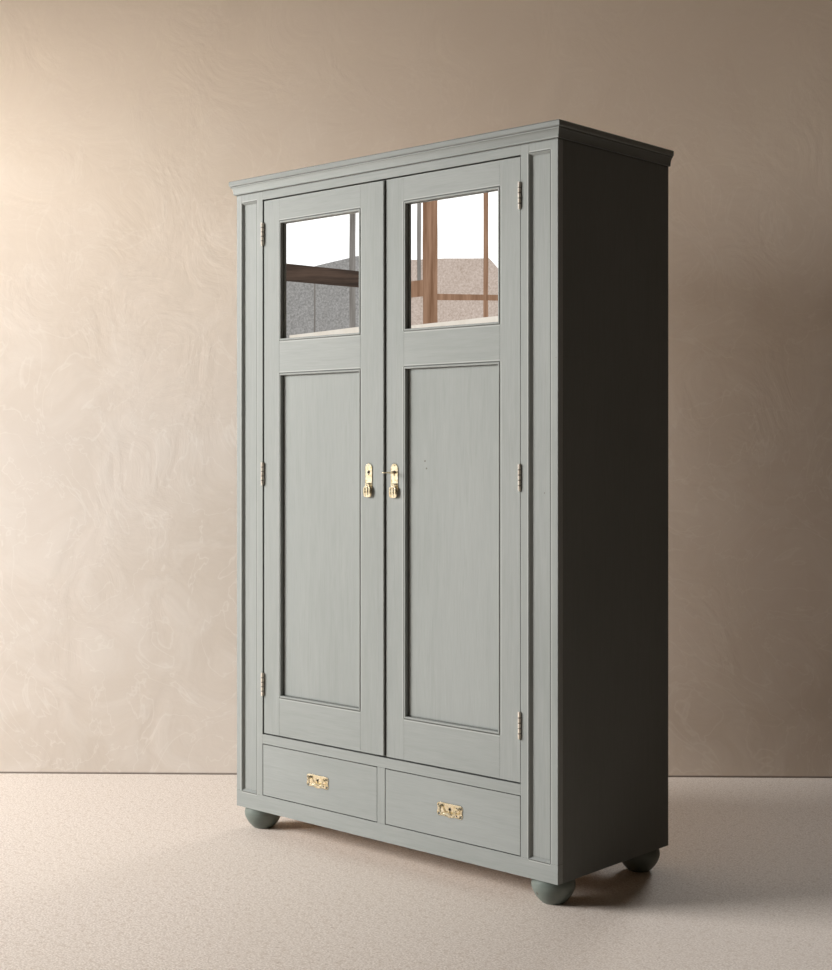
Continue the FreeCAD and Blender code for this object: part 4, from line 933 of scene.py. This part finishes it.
CAMERA_AT = Vector((2.8533, -3.2051, 1.1630))
CAMERA_TURN = math.radians(42.466)
FLOOR_HALF = 14.0
WALL_BACK = 0.945
WALL_SHIFT = 0.5                    # along the wall, from behind the wardrobe to the wall's middle
WALL_TURN = math.radians(1.5)
WALL_HALF = (3.7, 3.6)              # along it and up


def stage_piece(shape, name, material):
    """A piece of the room."""
    mesh = bpy.data.meshes.new(name)
    shape.to_mesh(mesh)
    shape.free()
    mesh.materials.append(material)
    made = bpy.data.objects.new(name, mesh)
    bpy.context.scene.collection.objects.link(made)
    return made


def floor_finish():
    """Pale beige stone chips in cement."""
    made, tree = new_material("floor")
    place = run_along(tree, "Z", 1.0)
    fine = cloudy(tree, place, 190.0, 4.0, 0.75)
    chips = cloudy(tree, place, 60.0, 3.0)
    broad = cloudy(tree, place, 1.3, 2.0)
    colour = mixed(tree, spread(tree, fine, 0.38, 0.62), (0.47, 0.395, 0.335, 1), (0.82, 0.755, 0.695, 1))
    colour = over(tree, colour, (0.44, 0.345, 0.275, 1), chips, 0.52, 0.70, 0.50)
    grit = put(tree, "ShaderNodeTexVoronoi", None, Vector=place, Scale=38.0).outputs["Distance"]
    colour = over(tree, colour, (0.20, 0.14, 0.10, 1), grit, 0.11, 0.06, 0.6)
    colour = over(tree, colour, (0.60, 0.53, 0.45, 1), broad, 0.3, 0.7, 0.25)
    return finish_of(made, colour, 0.62, fine, deep=0.0006)


def wall_finish():
    """Trowelled lime plaster, clear from behind, with painted warm light towards its top and painted shade
    along its foot.
    """
    made, tree = new_material("wall")
    place = run_along(tree, "Z", 1.0)
    broad = cloudy(tree, place, 1.1, 4.0, 0.55, 0.6)
    strokes = cloudy(tree, place, 4.5, 5.0, 0.6, 1.4)
    colour = mixed(tree, spread(tree, broad, 0.3, 0.7), (0.63, 0.56, 0.485, 1), (0.73, 0.665, 0.60, 1))
    colour = over(tree, colour, (0.77, 0.72, 0.66, 1), strokes, 0.48, 0.62, 0.30)
    swept = cloudy(tree, place, 2.6, 3.0, 0.55, 2.6)
    ridge = gap(tree, swept, 0.5)
    colour = over(tree, colour, (0.84, 0.80, 0.74, 1), ridge, 0.014, 0.0, 0.35)
    height = split(tree, place)[2]
    # Painted light: warmer and brighter towards the top of the wall.
    colour = over(tree, colour, (0.90, 0.735, 0.56, 1), height, 1.2, 2.6, 0.75)
    # Painted shade: a thin dark line along the wall's foot, where it meets the floor.
    colour = over(tree, colour, (0.10, 0.07, 0.05, 1), height, 0.008, 0.004, 0.8)
    finish_of(made, colour, 0.75, strokes, deep=0.004)
    surface, out = tree.nodes["Principled BSDF"], tree.nodes["Material Output"]
    clear = tree.nodes.new("ShaderNodeBsdfTransparent")
    pick = tree.nodes.new("ShaderNodeMixShader")
    tree.links.new(tree.nodes.new("ShaderNodeNewGeometry").outputs["Backfacing"], pick.inputs[0])
    tree.links.new(surface.outputs[0], pick.inputs[1])
    tree.links.new(clear.outputs[0], pick.inputs[2])
    tree.links.new(pick.outputs[0], out.inputs["Surface"])
    return made


def glowing(name, first, second, size, power=1.0, grain="Z", stretch=1.0):
    """A lit surface far off, in two tones."""
    made, tree = new_material(name)
    tree.nodes.remove(tree.nodes["Principled BSDF"])
    grains = cloudy(tree, run_along(tree, grain, stretch), size, 4.0, 0.7)
    tone = mixed(tree, spread(tree, grains, 0.30, 0.70), first, second)
    glow = put(tree, "ShaderNodeEmission", None, Color=tone, Strength=power)
    tree.links.new(glow.outputs[0], tree.nodes["Material Output"].inputs["Surface"])
    return made


floor = bmesh.new()
bmesh.ops.create_grid(floor, x_segments=2, y_segments=2, size=FLOOR_HALF)
stage_piece(floor, "floor", floor_finish())

away = Vector((-math.sin(CAMERA_TURN), math.cos(CAMERA_TURN), 0))
along_wall = Vector((math.cos(CAMERA_TURN), math.sin(CAMERA_TURN), 0))
wall = bmesh.new()
bmesh.ops.create_grid(wall, x_segments=2, y_segments=2, size=1.0,
                      matrix=Matrix.Translation(away * WALL_BACK + along_wall * WALL_SHIFT)
                      @ Matrix.Rotation(CAMERA_TURN - WALL_TURN, 4, "Z") @ STANDING
                      @ Matrix.Diagonal((*WALL_HALF, 1.0, 1.0)))
stage_piece(wall, "wall", wall_finish()).visible_shadow = False

MIRROR_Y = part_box("left_door_mirror")[0].y
GLASS = {-1: (-0.422, -0.091), 1: (0.091, 0.422)}
GLASS_Z = (1.504, 1.852)
WINDOW_FAR = 6.0
CARD_FAR, CARD_HIGH, CARD_HALF = 6.2, 0.95, (1.5, 0.88)
seen_from = Vector((CAMERA_AT.x, 2 * MIRROR_Y - CAMERA_AT.y, CAMERA_AT.z))
facing = Vector((-0.69, -0.724, 0)).normalized()
towards_window = facing.to_track_quat("Z", "Y").to_matrix().to_4x4()


def in_mirror(side, across, up, nearer=0.0):
    """The place in the room that shows at a share across and up one of the mirrors."""
    low_x, high_x = GLASS[side]
    height = GLASS_Z[0] + up * (GLASS_Z[1] - GLASS_Z[0])
    spot = Vector((low_x + across * (high_x - low_x), MIRROR_Y, height))
    ray = spot - seen_from
    already = (spot - Vector((0, MIRROR_Y, 0))).dot(facing)
    return spot + ray * ((WINDOW_FAR - nearer - already) / ray.dot(facing))


def only_mirrored(made):
    """Leaves a lit piece of the room to the mirrors and the brass."""
    made.visible_shadow = made.visible_diffuse = made.visible_camera = False


def pane(name, side, corners, material, nearer):
    """A flat shape that fills given shares of a mirror."""
    shape = bmesh.new()
    shape.faces.new([shape.verts.new(in_mirror(side, across, up, nearer)) for across, up in corners])
    only_mirrored(stage_piece(shape, name, material))


low_window = bmesh.new()
bmesh.ops.create_grid(low_window, x_segments=1, y_segments=1, size=1.0,
                      matrix=Matrix.Translation(facing * CARD_FAR + Vector((0, 0, CARD_HIGH)))
                      @ towards_window @ Matrix.Diagonal((*CARD_HALF, 1, 1)))
card = glowing("card", (0.95, 0.90, 0.82, 1), (1.0, 0.97, 0.92, 1), 2.0, 1.5)
only_mirrored(stage_piece(low_window, "pale card", card))

sky = glowing("sky", (1.0, 1.0, 1.0, 1), (0.97, 0.985, 1.0, 1), 0.5, 1.45)
oak = glowing("timber bars", (0.20, 0.105, 0.06, 1), (0.44, 0.27, 0.18, 1), 26.0, 1.0, "Z", 18.0)
dark_oak = glowing("dark timber", (0.035, 0.027, 0.023, 1), (0.115, 0.078, 0.06, 1), 30.0, 1.0, "XY", 14.0)
grey_bar = glowing("grey bars", (0.15, 0.135, 0.12, 1), (0.36, 0.34, 0.32, 1), 26.0, 1.0, "Z", 18.0)
slates = glowing("grey roof", (0.22, 0.215, 0.21, 1), (0.46, 0.45, 0.44, 1), 75.0)
tiles = glowing("pale roof", (0.46, 0.36, 0.30, 1), (0.74, 0.63, 0.565, 1), 75.0)
sill = glowing("sill", (0.82, 0.74, 0.64, 1), (0.92, 0.86, 0.78, 1), 10.0)

WHOLE_GLASS = ((-0.4, -0.5), (1.4, -0.5), (1.4, 1.5), (-0.4, 1.5))
SEEN = (
    ("sky -1", -1, WHOLE_GLASS, sky, 0.0),
    ("sky 1", 1, WHOLE_GLASS, sky, 0.0),
    ("slates", -1, ((-0.3, -0.4), (1.3, -0.4), (1.3, 0.66), (1.0, 0.64), (0.45, 0.60),
     (-0.3, 0.52)), slates, 0.1),
    ("bar across", -1, ((-0.3, 0.54), (1.3, 0.33), (1.3, 0.46), (-0.3, 0.70)), dark_oak, 0.3),
    ("upright", -1, ((0.85, -0.4), (0.925, -0.4), (0.925, 1.4), (0.85, 1.4)), grey_bar, 0.2),
    ("upright thin", -1, ((0.40, -0.4), (0.42, -0.4), (0.42, 0.45), (0.40, 0.45)), grey_bar, 0.25),
    ("sill left", -1, ((0.08, -0.2), (1.3, -0.2), (1.3, 0.06), (0.08, 0.025)), sill, 0.4),
    ("tiles", 1, ((-0.3, -0.4), (1.3, -0.4), (1.3, 0.14), (1.0, 0.38), (0.88, 0.49), (0.4, 0.53),
     (-0.3, 0.57)), tiles, 0.1),
    ("post", 1, ((0.17, -0.4), (0.33, -0.4), (0.33, 1.4), (0.16, 1.4)), oak, 0.3),
    ("post edge", 1, ((0.10, 0.38), (0.145, 0.38), (0.145, 1.4), (0.10, 1.4)), grey_bar, 0.28),
    ("upright right", 1, ((0.82, -0.4), (0.87, -0.4), (0.87, 1.4), (0.82, 1.4)), oak, 0.3),
    ("bar left", 1, ((-0.3, 0.25), (0.17, 0.25), (0.17, 0.38), (-0.3, 0.38)), oak, 0.32),
    ("bar right", 1, ((0.33, 0.21), (1.3, 0.14), (1.3, 0.18), (0.33, 0.26)), oak, 0.32),
    ("sill right", 1, ((-0.3, -0.2), (1.3, -0.2), (1.3, 0.055), (-0.3, 0.02)), sill, 0.4),
)
for name, side, corners, material, nearer in SEEN:
    pane(name, side, corners, material, nearer)


# ---- Light and camera ----
# Soft window light from the front left and a little above, with a shade that keeps it off the top of
# the wall, a lamp that only glints in the brass, a weak warm room light, and a lamp on the back.

def aimed(thing, place, target):
    """Puts a lamp at a place and points it."""
    thing.location = place
    thing.rotation_euler = (Vector(target) - Vector(place)).to_track_quat("-Z", "Y").to_euler()
    bpy.context.scene.collection.objects.link(thing)


LAMP_FAR, LAMP_HIGH, LAMP_SIZE, LAMP_WATTS = 6.3, 2.5, (3.2, 2.4), 890
SHADE_FAR, SHADE_HIGH, SHADE_HALF = 3.0, 3.66, (5.0, 1.0)
GLINT_AT, GLINT_SIZE, GLINT_WATTS = (-5.6, -2.6, 3.4), (1.4, 2.0), 110
BACK_AT, BACK_WATTS = (-1.4, 6.0, 2.4), 620

window = bpy.data.lights.new("window light", "AREA")
window.shape = "RECTANGLE"
window.size, window.size_y = LAMP_SIZE
window.energy, window.color = LAMP_WATTS, (1.0, 0.985, 0.975)
window_lamp = bpy.data.objects.new("window light", window)
aimed(window_lamp, facing * LAMP_FAR + Vector((0, 0, LAMP_HIGH)), (0, 0, 1.1))
window_lamp.visible_camera = window_lamp.visible_glossy = False

lintel = bmesh.new()
bmesh.ops.create_grid(lintel, x_segments=1, y_segments=1, size=1.0,
                      matrix=Matrix.Translation(facing * SHADE_FAR + Vector((0, 0, SHADE_HIGH)))
                      @ towards_window @ Matrix.Diagonal((*SHADE_HALF, 1, 1)))
shade = stage_piece(lintel, "shade over the window light", floor_finish())
shade.visible_camera = shade.visible_glossy = shade.visible_diffuse = False

glint = bpy.data.lights.new("glint", "AREA")
glint.shape, glint.energy = "RECTANGLE", GLINT_WATTS
glint.size, glint.size_y = GLINT_SIZE
glint_lamp = bpy.data.objects.new("glint", glint)
aimed(glint_lamp, GLINT_AT, (0, -0.2, 0.9))
glint_lamp.visible_camera = glint_lamp.visible_diffuse = False

backing = bpy.data.lights.new("back light", "SPOT")
backing.energy, backing.color = BACK_WATTS, (1.0, 0.97, 0.93)
backing.spot_size, backing.spot_blend, backing.shadow_soft_size = math.radians(30), 0.6, 0.8
aimed(bpy.data.objects.new("back light", backing), BACK_AT, (0, 0.28, 1.0))

room = bpy.data.worlds.new("room")
room.use_nodes = True
dim = room.node_tree.nodes["Background"]
dim.inputs["Color"].default_value, dim.inputs["Strength"].default_value = (0.92, 0.69, 0.48, 1), 0.050
pale = put(room.node_tree, "ShaderNodeBackground", None, Color=(0.60, 0.54, 0.48, 1), Strength=0.9)
seen = room.node_tree.nodes.new("ShaderNodeLightPath").outputs["Is Camera Ray"]
either = put(room.node_tree, "ShaderNodeMixShader", None, Fac=seen)
room.node_tree.links.new(dim.outputs[0], either.inputs[1])
room.node_tree.links.new(pale.outputs[0], either.inputs[2])
room.node_tree.links.new(either.outputs[0], room.node_tree.nodes["World Output"].inputs["Surface"])
bpy.context.scene.world = room

lens = bpy.data.cameras.new("camera")
lens.lens, lens.sensor_width = 54.29, 36.0
lens.shift_x, lens.shift_y = 0.0, -0.0335
camera = bpy.data.objects.new("camera", lens)
camera.location = CAMERA_AT
camera.rotation_euler = (math.radians(89.97), 0, CAMERA_TURN)
bpy.context.scene.collection.objects.link(camera)
bpy.context.scene.camera = camera
bpy.context.scene.view_settings.view_transform = "Standard"
